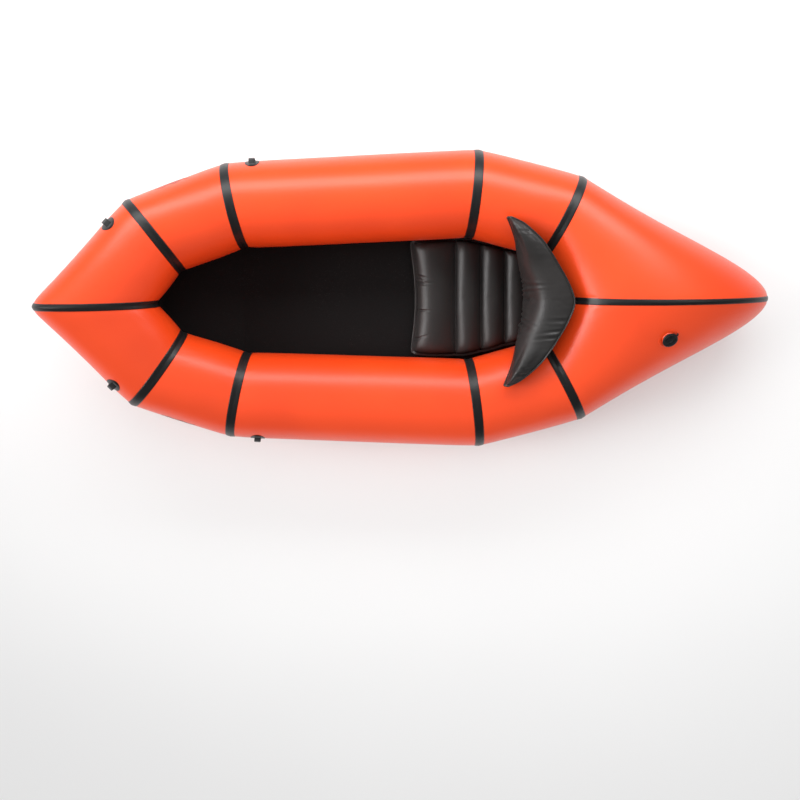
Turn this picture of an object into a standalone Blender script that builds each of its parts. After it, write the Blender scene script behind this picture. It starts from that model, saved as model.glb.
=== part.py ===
"""One-person inflatable packraft kayak, built from its separate pieces.

Frame: +X towards the bow, +Y towards port, +Z up, origin on the ground under the middle of the boat.
The hull is a closed ring of ten coated-fabric panels. Each panel is a tube between two mitre planes, and a
strip of tape covers every mitre. A floor sheet, an inflatable seat and backrest, lashing patches and a
two-part screw valve complete the boat.
"""

import math

import bmesh
import bpy
from mathutils import Matrix, Vector

# ---------------------------------------------------------------- driving dimensions, in metres
LENGTH = 2.40
FABRIC = 0.0010  # wall of a hull panel
GAP = 0.0003  # clearance that welded or touching pieces keep in the model
TAPE_WIDTH = 0.030
TAPE_LIFT = 0.0009  # from a panel to the tape over it
TAPE = 0.0008
FLOOR = 0.0012
SIDES = 28  # facets round a tube
UNDER = 0.0034  # from the ground to the lowest line of the side tubes

# Mitre joints of the port side, bow to stern: x and y of the tube's centre, its radius, and how far its underside
# is above the lowest line of the hull.
JOINTS = {
    "bow_shoulder": (0.861, 0.222, 0.1405, 0.0610),
    "shoulder_side": (0.598, 0.326, 0.1443, 0.0),
    "side_quarter": (-0.214, 0.3595, 0.1472, 0.0),
    "quarter_stern": (-0.517, 0.279, 0.1480, 0.0),
}
# Ovals where the port and starboard tubes meet on the centre plane: half length, half height, height of the
# centre above the ground, and how far the outer end stands above that centre.
BOW_OVAL = (0.1806, 0.1302, 0.3000, 0.0245)
STERN_OVAL = (0.3346, 0.1885, 0.2060, -0.0270)
BOW_ROUNDING = 11  # power of the rounding that closes each end: a higher one keeps the tip sharper
STERN_ROUNDING = 3

PANELS = ("bow", "shoulder", "side", "quarter", "stern")
SEAMS = ("bow_centre", "bow_shoulder", "shoulder_side", "side_quarter", "quarter_stern", "stern_centre")
# Rows of points along each panel, as shares of its length.
PANEL_ROWS = {
    "bow": (0.0, 0.5, 0.8, 0.93, 1.0),
    "shoulder": (0.0, 1.0),
    "side": (0.0, 1.0),
    "quarter": (0.0, 1.0),
    "stern": (0.0, 0.07, 0.25, 0.5, 0.7, 0.84, 0.94, 1.0),
}

# Places on the hull: panel, share of its length from the centre of the boat outwards, angle above the outer side.
SIDE_LASH = ("side", 0.111, 23.0)
BOW_LASH = ("bow", 0.21, 37.0)
VALVE = ("stern", 0.635, 74.0)

LASH_LENGTH = 0.050  # oval patch: along the tube, then round it
LASH_HEIGHT = 0.072
LASH_PATCH = 0.0012
WEBBING = 0.0016
LOOP_WIDTH = 0.020
LOOP_FLAT = 0.009  # sewn end of the webbing
LOOP_SPAN = 0.040  # open stretch between the sewn ends
LOOP_RISE = 0.0105

ORANGE = (0.87, 0.10, 0.015)
TAPE_BLACK = (0.014, 0.014, 0.015)
FLOOR_BLACK = (0.010, 0.010, 0.011)
CUSHION_GREY = (0.045, 0.043, 0.042)
VALVE_BLACK = (0.012, 0.012, 0.014)
WEB_BLACK = (0.016, 0.016, 0.017)

UP = Vector((0.0, 0.0, 1.0))
PORT, STARBOARD = 1.0, -1.0
SIDE_NAMES = {PORT: "port", STARBOARD: "starboard"}


# ---------------------------------------------------------------- scene and mesh helpers
def clear_scene():
    for obj in list(bpy.data.objects):
        bpy.data.objects.remove(obj)


def new_collection(name):
    collection = bpy.data.collections.new(name)
    bpy.context.scene.collection.children.link(collection)
    return collection


def material(name, colour, roughness, metallic=0.0):
    """The named Principled material, made once."""
    made = bpy.data.materials.get(name)
    if made is None:
        made = bpy.data.materials.new(name)
        made.use_nodes = True
        shader = made.node_tree.nodes["Principled BSDF"]
        shader.inputs["Base Color"].default_value = (*colour, 1.0)
        shader.inputs["Roughness"].default_value = roughness
        shader.inputs["Metallic"].default_value = metallic
    return made


def joint_empty(name, frame):
    """An empty on the axis of a joint. The pieces that move with the joint are parented to it."""
    empty = bpy.data.objects.new(name, None)
    empty.empty_display_size = 0.03
    empty.matrix_world = frame
    BOAT.objects.link(empty)
    return empty


def hang(obj, empty):
    """Parents a piece to a joint's empty and leaves it where it is."""
    obj.parent = empty
    obj.matrix_parent_inverse = empty.matrix_world.inverted()
    return obj


def finish(obj, finish_material, smooth_angle=35.0):
    """Links an object, gives it its material and shades its round faces smooth."""
    BOAT.objects.link(obj)
    obj.data.materials.append(finish_material)
    if obj.type == "MESH":
        obj.data.shade_smooth()
        obj.data.set_sharp_from_angle(angle=math.radians(smooth_angle))
    return obj


def mesh_object(name, bm, finish_material, smooth_angle=35.0):
    bm.normal_update()
    bmesh.ops.recalc_face_normals(bm, faces=bm.faces)
    mesh = bpy.data.meshes.new(name)
    bm.to_mesh(mesh)
    bm.free()
    return finish(bpy.data.objects.new(name, mesh), finish_material, smooth_angle)


def loft(name, rings, finish_material, closed_tube=False, smooth_angle=35.0):
    """A solid through rings of equally many points. A closed tube joins its last ring to its first, and any
    other loft is capped. The rings of a closed tube run out along one skin and back along the other, and both
    skins are split along the same diagonals, so that a twisted wall keeps its thickness."""
    bm = bmesh.new()
    rows = [[bm.verts.new(point) for point in ring] for ring in rings]
    count = len(rows[0])
    pairs = list(zip(rows, rows[1:]))
    if closed_tube:
        pairs.append((rows[-1], rows[0]))
    else:
        bm.faces.new(rows[0])
        bm.faces.new(rows[-1])
    for number, (first, second) in enumerate(pairs):
        for i in range(count):
            j = (i + 1) % count
            if not closed_tube:
                bm.faces.new((first[i], first[j], second[j], second[i]))
            elif number < len(pairs) // 2:
                bm.faces.new((first[i], first[j], second[j]))
                bm.faces.new((first[i], second[j], second[i]))
            else:
                bm.faces.new((first[i], first[j], second[i]))
                bm.faces.new((first[j], second[j], second[i]))
    return mesh_object(name, bm, finish_material, smooth_angle)


def turned(name, profile, frame, finish_material, steps=24, smooth_angle=35.0):
    """A turned piece: a closed outline of (radius, height) spun about the frame's Z, outer side top to bottom."""
    bm = bmesh.new()
    verts = [bm.verts.new((radius, 0.0, height)) for radius, height in profile]
    ends_on_axis = profile[0][0] == 0.0 and profile[-1][0] == 0.0
    for first, second in zip(verts, verts[1:]):
        bm.edges.new((first, second))
    if not ends_on_axis:
        bm.edges.new((verts[-1], verts[0]))
    bmesh.ops.spin(
        bm,
        geom=bm.verts[:] + bm.edges[:],
        cent=(0.0, 0.0, 0.0),
        axis=(0.0, 0.0, 1.0),
        angle=2.0 * math.pi,
        steps=steps,
        use_merge=True,
        use_duplicate=False,
    )
    bmesh.ops.remove_doubles(bm, verts=bm.verts, dist=0.00002)
    piece = mesh_object(name, bm, finish_material, smooth_angle)
    piece.matrix_world = frame
    return piece


def shaped_by(obj, other, operation):
    """Cuts a shape out of an object or joins it on, and keeps the shape as a wire guide."""
    CUTTERS.objects.link(other)
    other.hide_render = True
    other.display_type = "WIRE"
    modifier = obj.modifiers.new(other.name, "BOOLEAN")
    modifier.operation = operation
    modifier.object = other


def cylinder_cutter(name, radius, bottom, top, frame, segments=24):
    bm = bmesh.new()
    bmesh.ops.create_cone(
        bm, cap_ends=True, segments=segments, radius1=radius, radius2=radius, depth=top - bottom
    )
    bm.transform(frame @ Matrix.Translation((0.0, 0.0, (top + bottom) / 2)))
    return guide(name, bm)


def guide(name, bm):
    """An unlinked object for a cut or a join."""
    mesh = bpy.data.meshes.new(name)
    bm.to_mesh(mesh)
    bm.free()
    return bpy.data.objects.new(name, mesh)


# ---------------------------------------------------------------- the hull ring
def angles(count=SIDES):
    return [2.0 * math.pi * i / count for i in range(count)]


def joint_centre(name):
    x, y, radius, rise = JOINTS[name]
    return Vector((x, y, UNDER + rise + radius))


def oval(end, which):
    """Points of the centre-plane oval of the bow (end 1) or stern (end -1), from its outer point upwards."""
    half_length, half_height, height, tip_rise = which
    reach = LENGTH / 2 - TAPE_LIFT - TAPE
    middle = end * (reach - half_length)
    return lambda turn: Vector(
        (
            middle + end * half_length * math.cos(turn),
            0.0,
            height + tip_rise * math.cos(turn) + half_height * math.sin(turn),
        )
    )


def ring_centres():
    bow = Vector((LENGTH / 2 - BOW_OVAL[0], 0.0, BOW_OVAL[2]))
    stern = Vector((STERN_OVAL[0] - LENGTH / 2, 0.0, STERN_OVAL[2]))
    return [bow] + [joint_centre(name) for name in JOINTS] + [stern]


def mitre(index):
    """Points of the mitre ellipse at a joint: the tube's section on the plane that halves the bend."""
    centres = ring_centres()
    before = (centres[index] - centres[index - 1]).normalized()
    after = (centres[index + 1] - centres[index]).normalized()
    normal = (before + after).normalized()
    long_axis = (after - before).normalized()
    if long_axis.y < 0.0:
        long_axis = -long_axis
    short_axis = normal.cross(long_axis)
    if short_axis.z < 0.0:
        short_axis = -short_axis
    radius = list(JOINTS.values())[index - 1][2]
    stretch = radius / math.cos(before.angle(after) / 2)
    level = math.atan2(-long_axis.z, short_axis.z)
    return lambda turn: (
        centres[index]
        + stretch * math.cos(turn + level) * long_axis
        + radius * math.sin(turn + level) * short_axis
    )


def sections():
    """The six sections of the port half ring, bow to stern, each a function of the angle above the outer side."""
    return [oval(1, BOW_OVAL)] + [mitre(i) for i in range(1, 5)] + [oval(-1, STERN_OVAL)]


SECTIONS = sections()
CENTRES = [sum((section(turn) for turn in angles()), Vector()) / SIDES for section in SECTIONS]


def panel_ends(panel):
    """The inner and the outer section of a panel, as indices: outer means nearer the bow or stern tip."""
    first = PANELS.index(panel)
    return (first + 1, first) if panel == "bow" else (first, first + 1)


def hull_point(panel, share, turn, inset=0.0):
    """A port-side point on a panel's outer surface, or inset towards its middle."""
    start, end = panel_ends(panel)

    def on(index):
        point = SECTIONS[index](turn)
        return point + (CENTRES[index] - point).normalized() * inset

    first, last = on(start), on(end)
    point = first.lerp(last, share)
    if panel in ("bow", "stern"):
        power = BOW_ROUNDING if panel == "bow" else STERN_ROUNDING
        outer = max(math.cos(turn), 0.0)
        point.x += (last.x - first.x) * outer * share**power * (1.0 - share)
    return point


def mirrored(point, side):
    return Vector((point.x, point.y * side, point.z))


def panel_ring(panel, share, side, inset=0.0):
    """A ring of panel points. The rings at the ends stop just short of the mitre plane."""
    start, end = panel_ends(panel)
    points = []
    for turn in angles():
        length = (SECTIONS[end](turn) - SECTIONS[start](turn)).length
        short = 1.2 * GAP / length
        point = hull_point(panel, min(max(share, short), 1.0 - short), turn, inset)
        if end in (0, 5) and share == 1.0:
            point.y = max(point.y, GAP)
        points.append(mirrored(point, side))
    return points


def hull_panel(panel, side):
    """One fabric panel, open at both mitres as the welded tube is."""
    rows = PANEL_ROWS[panel]
    outside = [panel_ring(panel, share, side) for share in rows]
    inside = [panel_ring(panel, share, side, FABRIC) for share in reversed(rows)]
    fabric = material("hull_fabric", ORANGE, 0.38)
    return loft(f"{panel}_panel_{SIDE_NAMES[side]}", outside + inside, fabric, closed_tube=True)


def tape_ring(panel, index, along, side, lift):
    """A ring of points over a panel, a distance from the mitre at a section, lifted off the fabric."""
    start, end = panel_ends(panel)
    points = []
    for turn in angles():
        length = (SECTIONS[end](turn) - SECTIONS[start](turn)).length
        share = along / length if index == start else 1.0 - along / length
        point = hull_point(panel, share, turn)
        beside = CENTRES[index].lerp(CENTRES[start + end - index], along / length)
        points.append(mirrored(point + (point - beside).normalized() * lift, side))
    return points


def seam_tape(seam, side):
    """A tape strip round one mitre. The two centre seams have a panel of the same kind on each side."""
    index = SEAMS.index(seam)
    if index in (0, 5):
        panel = PANELS[0 if index == 0 else -1]
        edges = ((panel, PORT), (panel, STARBOARD))
        name = seam + "_tape"
    else:
        edges = ((PANELS[index - 1], side), (PANELS[index], side))
        name = f"{seam}_tape_{SIDE_NAMES[side]}"

    def strip(lift):
        first = tape_ring(edges[0][0], index, TAPE_WIDTH / 2, edges[0][1], lift)
        middle = tape_ring(edges[0][0], index, 0.0, edges[0][1], lift)
        last = tape_ring(edges[1][0], index, TAPE_WIDTH / 2, edges[1][1], lift)
        return [first, middle, last]

    rings = strip(TAPE_LIFT) + strip(TAPE_LIFT + TAPE)[::-1]
    return loft(name, rings, material("seam_tape", TAPE_BLACK, 0.45), closed_tube=True)


# ---------------------------------------------------------------- the floor
def underside(index):
    """The lowest point of a section, lowered to the top of the floor sheet."""
    lowest = min((SECTIONS[index](turn) for turn in angles(4 * SIDES)), key=lambda point: point.z)
    raised = 1.0 if lowest.z < UNDER + 0.001 else 1.8  # a sloping stretch needs more room for the tape
    return lowest - UP * (UNDER - FLOOR) * raised


def floor_panel(name, corners):
    """A flat stretch of the floor sheet, from the corners of its top face."""
    centre = sum(corners, Vector()) / len(corners)
    inset = [corner + (centre - corner).normalized() * 0.001 for corner in corners]
    lowered = [corner - UP * FLOOR for corner in inset]
    return loft(name, [inset, lowered], material("floor_fabric", FLOOR_BLACK, 0.7))


def floor_sheet():
    low = [underside(index) for index in range(6)]
    port = low[1:5]
    star = [mirrored(point, STARBOARD) for point in port]
    floor_panel("floor_bow", [low[0], port[0], star[0]])
    floor_panel("floor_front", [port[0], port[1], star[1], star[0]])
    floor_panel("floor_centre", [port[1], port[2], port[3], star[3], star[2], star[1]])
    floor_panel("floor_stern", [port[3], low[5], star[3]])


# ---------------------------------------------------------------- lashing patches
def surface_frame(place, side):
    """The frame at a place on the hull: X along the tube, Y round it and upwards, Z out of the hull."""
    panel, share, degrees = place
    turn, step = math.radians(degrees), 0.001
    here = hull_point(panel, share, turn)
    along = (hull_point(panel, share + step, turn) - hull_point(panel, share - step, turn)).normalized()
    around = hull_point(panel, share, turn + step) - hull_point(panel, share, turn - step)
    around = (around - along * around.dot(along)).normalized()
    here, along, around = (mirrored(vector, side) for vector in (here, along, around))
    out = along.cross(around)
    if out.y * side < 0.0:
        out, along = -out, -along
    return Matrix.Translation(here) @ Matrix((along, around, out)).transposed().to_4x4()


def lash_patch(name, place, side):
    """An oval patch of fabric that follows the tube."""
    panel, share, degrees = place
    start, end = panel_ends(panel)
    length = (SECTIONS[end](math.radians(degrees)) - SECTIONS[start](math.radians(degrees))).length
    radius = (SECTIONS[start](0.0) - CENTRES[start]).length
    out = surface_frame(place, side).to_3x3() @ UP

    def on_hull(across, around, lift):
        turn = math.radians(degrees) + around / radius
        point = mirrored(hull_point(panel, share + across / length, turn), side)
        return point + out * lift

    def oval_ring(scale, lift):
        return [
            on_hull(
                scale * LASH_LENGTH / 2 * math.cos(turn), scale * LASH_HEIGHT / 2 * math.sin(turn), lift
            )
            for turn in angles(20)
        ]

    scales = (0.08, 0.55, 1.0)
    rings = [oval_ring(scale, GAP * 1.5) for scale in scales]
    rings += [oval_ring(scale, GAP * 1.5 + LASH_PATCH) for scale in reversed(scales)]
    return loft(name, rings, material("seam_tape", TAPE_BLACK, 0.45))


def lash_loop(name, place, side):
    """A webbing loop sewn over the patch at both ends. Its outline is bent in the plane across the tube."""
    tube_radius = 0.150
    foot = GAP * 2.5 + LASH_PATCH
    half = LOOP_SPAN / 2

    def middle(around):
        bent = -around * around / (2.0 * tube_radius)
        if abs(around) >= half:
            return bent
        share = (half - abs(around)) / half
        rise = LOOP_RISE * math.sin(0.5 * math.pi * min(1.0, 1.6 * share))
        return bent * (1.0 - min(1.0, 2.0 * share)) + rise

    ends = half + LOOP_FLAT
    stations = [-ends, -half, -0.86 * half, -0.62 * half, -0.38 * half, 0.38 * half, 0.62 * half]
    stations += [0.86 * half, half, ends]
    under = [(around, foot + middle(around)) for around in stations]

    def lifted(index):
        before, after = under[max(index - 1, 0)], under[min(index + 1, len(under) - 1)]
        slope = math.atan2(after[1] - before[1], after[0] - before[0])
        x, y = under[index]
        return x - WEBBING * math.sin(slope), y + WEBBING * math.cos(slope)

    outline = under + [lifted(index) for index in reversed(range(len(under)))]
    curve = bpy.data.curves.new(name, "CURVE")
    curve.dimensions = "2D"
    curve.fill_mode = "BOTH"
    curve.extrude = LOOP_WIDTH / 2
    spline = curve.splines.new("POLY")
    spline.points.add(len(outline) - 1)
    for point, (x, y) in zip(spline.points, outline):
        point.co = (x, y, 0.0, 1.0)
    spline.use_cyclic_u = True
    loop = finish(bpy.data.objects.new(name, curve), material("webbing", WEB_BLACK, 0.8))
    # The outline's X runs round the tube, its Y out of the hull and its depth along the tube.
    turn = Matrix(((0.0, 0.0, 1.0), (1.0, 0.0, 0.0), (0.0, 1.0, 0.0))).to_4x4()
    loop.matrix_world = surface_frame(place, side) @ turn
    return loop


# ---------------------------------------------------------------- inflation valve
# Outlines of the turned pieces, as (radius, height) over the hull, outer side from top to bottom.
FLANGE_OUTLINE = (
    (0.0310, 0.0016),
    (0.0310, 0.0004),
    (0.0212, 0.0004),
    (0.0212, -0.0085),
    (0.0175, -0.0085),
    (0.0175, 0.0045),
    (0.0212, 0.0045),
    (0.0222, 0.0024),
)
INSERT_SEAL_OUTLINE = ((0.0205, 0.0058), (0.0205, 0.0048), (0.0178, 0.0048), (0.0178, 0.0058))
INSERT_OUTLINE = (
    (0.0208, 0.0086),
    (0.0208, 0.0061),
    (0.0172, 0.0061),
    (0.0172, -0.0090),
    (0.0115, -0.0090),
    (0.0115, -0.0045),
    (0.0133, -0.0025),
    (0.0133, 0.0086),
)
FLAP_OUTLINE = (
    (0.0, -0.0028),
    (0.0026, -0.0028),
    (0.0026, -0.0038),
    (0.0014, -0.0042),
    (0.0014, -0.0093),
    (0.0135, -0.0093),
    (0.0135, -0.0103),
    (0.0, -0.0106),
)
LEASH_OUTLINE = ((0.0205, 0.0100), (0.0205, 0.0090), (0.0138, 0.0090), (0.0138, 0.0100))
CAP_OUTLINE = (
    (0.0, 0.0146),
    (0.0170, 0.0144),
    (0.0232, 0.0136),
    (0.0248, 0.0126),
    (0.0248, 0.0106),
    (0.0236, 0.0103),
    (0.0129, 0.0103),
    (0.0129, 0.0062),
    (0.0112, 0.0062),
    (0.0112, 0.0044),
    (0.0129, 0.0044),
    (0.0129, 0.0020),
    (0.0, 0.0020),
)
CAP_SEAL_OUTLINE = ((0.0130, 0.0059), (0.0130, 0.0047), (0.0115, 0.0047), (0.0115, 0.0059))
VALVE_HOLE = 0.0215  # radius of the hole in the hull
FLAP_STEM_HOLE = 0.0018
FLAP_BRIDGE = (0.0240, 0.0050, 0.0018)  # the bar across the insert that guides the flap's stem
FLAP_BRIDGE_HEIGHT = -0.0074
# The leash's pull tab: distance from the axis, and the heights of its lower and upper face.
LEASH_TAB = (
    (0.0190, 0.0091, 0.0099),
    (0.0262, 0.0091, 0.0099),
    (0.0297, 0.0078, 0.0088),
    (0.0317, 0.0058, 0.0064),
)
LEASH_TAB_HALF_WIDTH = 0.0035


def main_valve():
    """The screw valve of the air tube: a welded flange, a screwed-in insert with a one-way flap, and a cap."""
    frame = surface_frame(VALVE, PORT)
    insert_axis = joint_empty("insert_axis", frame)
    flap_axis = joint_empty("flap_axis", frame)
    cap_axis = joint_empty("cap_axis", frame)
    moulded = material("valve_plastic", VALVE_BLACK, 0.4)
    rubber = material("valve_rubber", VALVE_BLACK, 0.6)
    hole = cylinder_cutter("valve_hole", VALVE_HOLE, -0.02, 0.02, frame)
    shaped_by(bpy.data.objects["stern_panel_port"], hole, "DIFFERENCE")
    turned("valve_flange", FLANGE_OUTLINE, frame, material("flange_fabric", ORANGE, 0.35), steps=32)

    hang(turned("valve_insert_seal", INSERT_SEAL_OUTLINE, frame, rubber), insert_axis)
    insert = hang(turned("valve_insert", INSERT_OUTLINE, frame, moulded), insert_axis)
    bridge_bm = bmesh.new()
    bmesh.ops.create_cube(bridge_bm, size=1.0)
    lowered = Matrix.Translation((0.0, 0.0, FLAP_BRIDGE_HEIGHT))
    bridge_bm.transform(frame @ lowered @ Matrix.Diagonal((*FLAP_BRIDGE, 1.0)))
    shaped_by(insert, guide("valve_bridge", bridge_bm), "UNION")
    stem_hole = cylinder_cutter("stem_hole", FLAP_STEM_HOLE, -0.02, 0.0, frame, segments=12)
    shaped_by(insert, stem_hole, "DIFFERENCE")
    hang(turned("valve_flap", FLAP_OUTLINE, frame, rubber, steps=20), flap_axis)
    leash = hang(turned("valve_leash", LEASH_OUTLINE, frame, rubber), insert_axis)
    shaped_by(leash, guide("leash_tab", leash_tab(frame)), "UNION")

    hang(turned("valve_cap", CAP_OUTLINE, frame, moulded, steps=32), cap_axis)
    hang(turned("valve_cap_seal", CAP_SEAL_OUTLINE, frame, rubber), cap_axis)


def leash_tab(frame):
    """The tab that sticks out from under the cap and bends down to the flange."""
    bm = bmesh.new()
    half = LEASH_TAB_HALF_WIDTH
    rings = []
    for reach, low, high in LEASH_TAB:
        lean = 0.0006 if low < 0.009 else 0.0
        corners = [(reach - lean, -half, low), (reach - lean, half, low)]
        corners += [(reach + lean, half, high), (reach + lean, -half, high)]
        rings.append([bm.verts.new(frame @ Vector(corner)) for corner in corners])
    bm.faces.new(rings[0])
    bm.faces.new(rings[-1])
    for first, second in zip(rings, rings[1:]):
        for i in range(4):
            j = (i + 1) % 4
            bm.faces.new((first[i], first[j], second[j], second[i]))
    bmesh.ops.recalc_face_normals(bm, faces=bm.faces)
    return bm


# ---------------------------------------------------------------- seat and backrest
# Seat chambers, front to rear: where each starts along X, and its height.
SEAT_EDGES = (-0.024, -0.161, -0.253, -0.338, -0.420, -0.498)
SEAT_HEIGHTS = (0.094, 0.088, 0.086, 0.084, 0.078)
# Half width of the seat along X.
SEAT_HALF_WIDTH = (
    (-0.024, 0.200),
    (-0.10, 0.208),
    (-0.20, 0.206),
    (-0.34, 0.174),
    (-0.42, 0.150),
    (-0.498, 0.110),
)
SEAT_BOTTOM = 0.0022
SEAT_VALLEY = 0.46  # height of the welds between chambers, as a share of the chamber's
SEAT_BOW = 0.020  # the front edge is hollow in the middle


def between(table, x):
    """A value read off a table of (x, value) pairs that runs towards the stern."""
    for (x0, value0), (x1, value1) in zip(table, table[1:]):
        if x >= x1:
            share = min(max((x0 - x) / (x0 - x1), 0.0), 1.0)
            return value0 + (value1 - value0) * share
    return table[-1][1]


def seat_station(x, height, half_width, front_share):
    """A closed ring across the seat: flat underneath, crowned on top, its sides rounded."""
    points = []
    for turn in angles(20):
        across, up = math.cos(turn), math.sin(turn)
        y = math.copysign(abs(across) ** 0.55, across) * half_width
        z = height / 2 * (1.0 + math.copysign(abs(up) ** (0.75 if up > 0 else 0.35), up))
        bow = SEAT_BOW * front_share * (y / half_width) ** 2
        points.append(Vector((x + bow, y, SEAT_BOTTOM + z)))
    return points


def seat():
    rings = []
    for number, (front, rear) in enumerate(zip(SEAT_EDGES, SEAT_EDGES[1:])):
        height = SEAT_HEIGHTS[number]
        for share in (0.0, 0.15, 0.35, 0.65, 0.85):
            x = front + (rear - front) * share
            swell = SEAT_VALLEY + (1.0 - SEAT_VALLEY) * min(1.0, 1.12 * math.sin(math.pi * share) ** 0.6)
            if number == 0 and share == 0.0:
                swell = 0.16
            narrow = 1.0 if share else 0.985
            front_share = 1.0 if number == 0 and share < 0.5 else 0.4 if number == 0 else 0.0
            rings.append(seat_station(x, height * swell, between(SEAT_HALF_WIDTH, x) * narrow, front_share))
    rings.append(seat_station(SEAT_EDGES[-1], SEAT_HEIGHTS[-1] * 0.2, SEAT_HALF_WIDTH[-1][1] * 0.97, 0.0))
    return loft("seat_cushion", rings, material("cushion_fabric", CUSHION_GREY, 0.5), smooth_angle=60.0)


# Backrest sections from the middle to a horn: y, front x, rear x, bottom z, top z.
BACKREST = (
    (0.000, -0.366, -0.516, 0.140, 0.372),
    (0.065, -0.361, -0.494, 0.143, 0.369),
    (0.120, -0.352, -0.464, 0.158, 0.363),
    (0.160, -0.343, -0.442, 0.212, 0.356),
    (0.195, -0.335, -0.418, 0.258, 0.349),
    (0.225, -0.327, -0.388, 0.288, 0.342),
    (0.252, -0.318, -0.352, 0.306, 0.335),
    (0.272, -0.306, -0.314, 0.322, 0.328),
)
# The backrest's two straps and two loops on a weld of the seat share one toggle bar, on which the backrest tilts.
PIVOT = Vector((-0.420, 0.0, 0.0930))
BAR_RADIUS = 0.0033
BAR_HALF_LENGTH = 0.098
STRAP_Y = 0.055
SEAT_LOOP_Y = 0.080
STRAP_WIDTH = 0.018
BACKREST_VALVE_FACE = 10  # facet of the backrest's rear underside, counted from its top


def backrest_station(y, front, rear, bottom, top):
    """An oval that leans back and fills the given box, in the plane across the backrest."""
    half_x, half_z = (front - rear) / 2, (top - bottom) / 2
    centre = Vector(((front + rear) / 2, y, (top + bottom) / 2))
    skew = math.asin(min(0.93, 0.42 + 2.2 * half_x))
    return [
        centre + Vector((-half_x * math.cos(turn + skew), 0.0, half_z * math.cos(turn)))
        for turn in angles(16)
    ]


def backrest(axis):
    half = [backrest_station(*row) for row in BACKREST]
    other = [[mirrored(point, STARBOARD) for point in ring] for ring in half[:0:-1]]
    grey = material("cushion_fabric", CUSHION_GREY, 0.5)
    return hang(loft("backrest_cushion", other + half, grey, smooth_angle=60.0), axis)


def bar_sleeve(name, y, end_height, end_half):
    """A doubled webbing strap with an eye round the toggle bar, its sewn end at a height above or under the bar."""
    inner = BAR_RADIUS + 0.0007
    outer = inner + WEBBING
    half = WEBBING
    down = -1.0 if end_height < PIVOT.z else 1.0
    neck = math.asin(half / outer)
    count = 16
    arc = [math.pi / 2 + neck + (2.0 * math.pi - 2.0 * neck) * i / count for i in range(count + 1)]
    eye = [(outer * math.cos(turn), down * outer * math.sin(turn)) for turn in arc]
    tail = end_height - PIVOT.z
    outline = eye + [(end_half, tail * 0.9), (end_half, tail), (-end_half, tail), (-end_half, tail * 0.9)]
    bm = bmesh.new()
    verts = [bm.verts.new((x, -STRAP_WIDTH / 2, z)) for x, z in outline]
    bm.faces.new(verts)
    extruded = bmesh.ops.extrude_face_region(bm, geom=bm.faces[:])["geom"]
    moved = [item for item in extruded if isinstance(item, bmesh.types.BMVert)]
    bmesh.ops.translate(bm, verts=moved, vec=(0.0, STRAP_WIDTH, 0.0))
    bm.transform(Matrix.Translation((PIVOT.x, y, PIVOT.z)))
    strap = mesh_object(name, bm, material("webbing", WEB_BLACK, 0.8))
    across = Matrix.Translation((PIVOT.x, y, PIVOT.z)) @ Matrix.Rotation(math.pi / 2, 4, "X")
    eye_hole = cylinder_cutter(name + "_eye", inner, -0.02, 0.02, across, segments=20)
    shaped_by(strap, eye_hole, "DIFFERENCE")
    return strap


def backrest_mount(axis):
    """The toggle bar, the loops that hold it to the seat and the straps that hold the backrest to it."""
    lying = Matrix.Translation(PIVOT) @ Matrix.Rotation(math.pi / 2, 4, "X")
    knob, end = BAR_RADIUS + 0.003, BAR_HALF_LENGTH
    profile = [(0.0, end), (knob - 0.001, end), (knob, end - 0.001), (knob, end - 0.006)]
    profile += [(BAR_RADIUS, end - 0.007), (BAR_RADIUS, 0.007 - end), (knob, 0.006 - end)]
    profile += [(knob, 0.001 - end), (knob - 0.001, -end), (0.0, -end)]
    turned("backrest_bar", profile, lying, material("bar_plastic", VALVE_BLACK, 0.35), steps=16)
    weld = SEAT_BOTTOM + SEAT_HEIGHTS[4] * SEAT_VALLEY
    for side in (PORT, STARBOARD):
        bar_sleeve("seat_loop_" + SIDE_NAMES[side], side * SEAT_LOOP_Y, weld + 0.0055, 0.0018)
        under = min(
            backrest_underside(PIVOT.x + x, STRAP_Y + y)
            for x in (-0.0018, 0.0018)
            for y in (-STRAP_WIDTH / 2, STRAP_WIDTH / 2)
        )
        hang(bar_sleeve("backrest_strap_" + SIDE_NAMES[side], side * STRAP_Y, under - 0.0006, 0.0018), axis)


def backrest_underside(x, y):
    """Height of the backrest's lower face at a place."""
    for first, second in zip(BACKREST, BACKREST[1:]):
        if first[0] <= y <= second[0]:
            share = (y - first[0]) / (second[0] - first[0])
            row = [a + (b - a) * share for a, b in zip(first, second)]
            ring = backrest_station(*row)
            crossed = []
            for p, q in zip(ring, ring[1:] + ring[:1]):
                if (p.x - x) * (q.x - x) <= 0.0 and p.x != q.x:
                    crossed.append(p.z + (q.z - p.z) * (x - p.x) / (q.x - p.x))
            return min(crossed)
    return BACKREST[-1][3]


# Outlines of a mouth valve's two turned pieces, as (radius, height) over the cushion.
STEM_OUTLINE = (
    (0.0110, 0.0016),
    (0.0110, 0.0004),
    (0.0044, 0.0004),
    (0.0044, 0.0120),
    (0.0066, 0.0120),
    (0.0066, 0.0024),
)
TUBE_OUTLINE = (
    (0.0058, 0.0162),
    (0.0058, 0.0124),
    (0.0040, 0.0124),
    (0.0040, 0.0012),
    (0.0022, 0.0012),
    (0.0022, 0.0170),
    (0.0050, 0.0170),
)


def mouth_valve(prefix, frame):
    """A small mouth-inflation valve: a flanged stem and a tube that pulls out of it. Returns the stem."""
    plastic = material("valve_plastic", VALVE_BLACK, 0.4)
    tube_axis = joint_empty(prefix + "_tube_axis", frame)
    hang(turned(prefix + "_valve_tube", TUBE_OUTLINE, frame, plastic), tube_axis)
    return turned(prefix + "_valve_stem", STEM_OUTLINE, frame, plastic)


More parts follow.
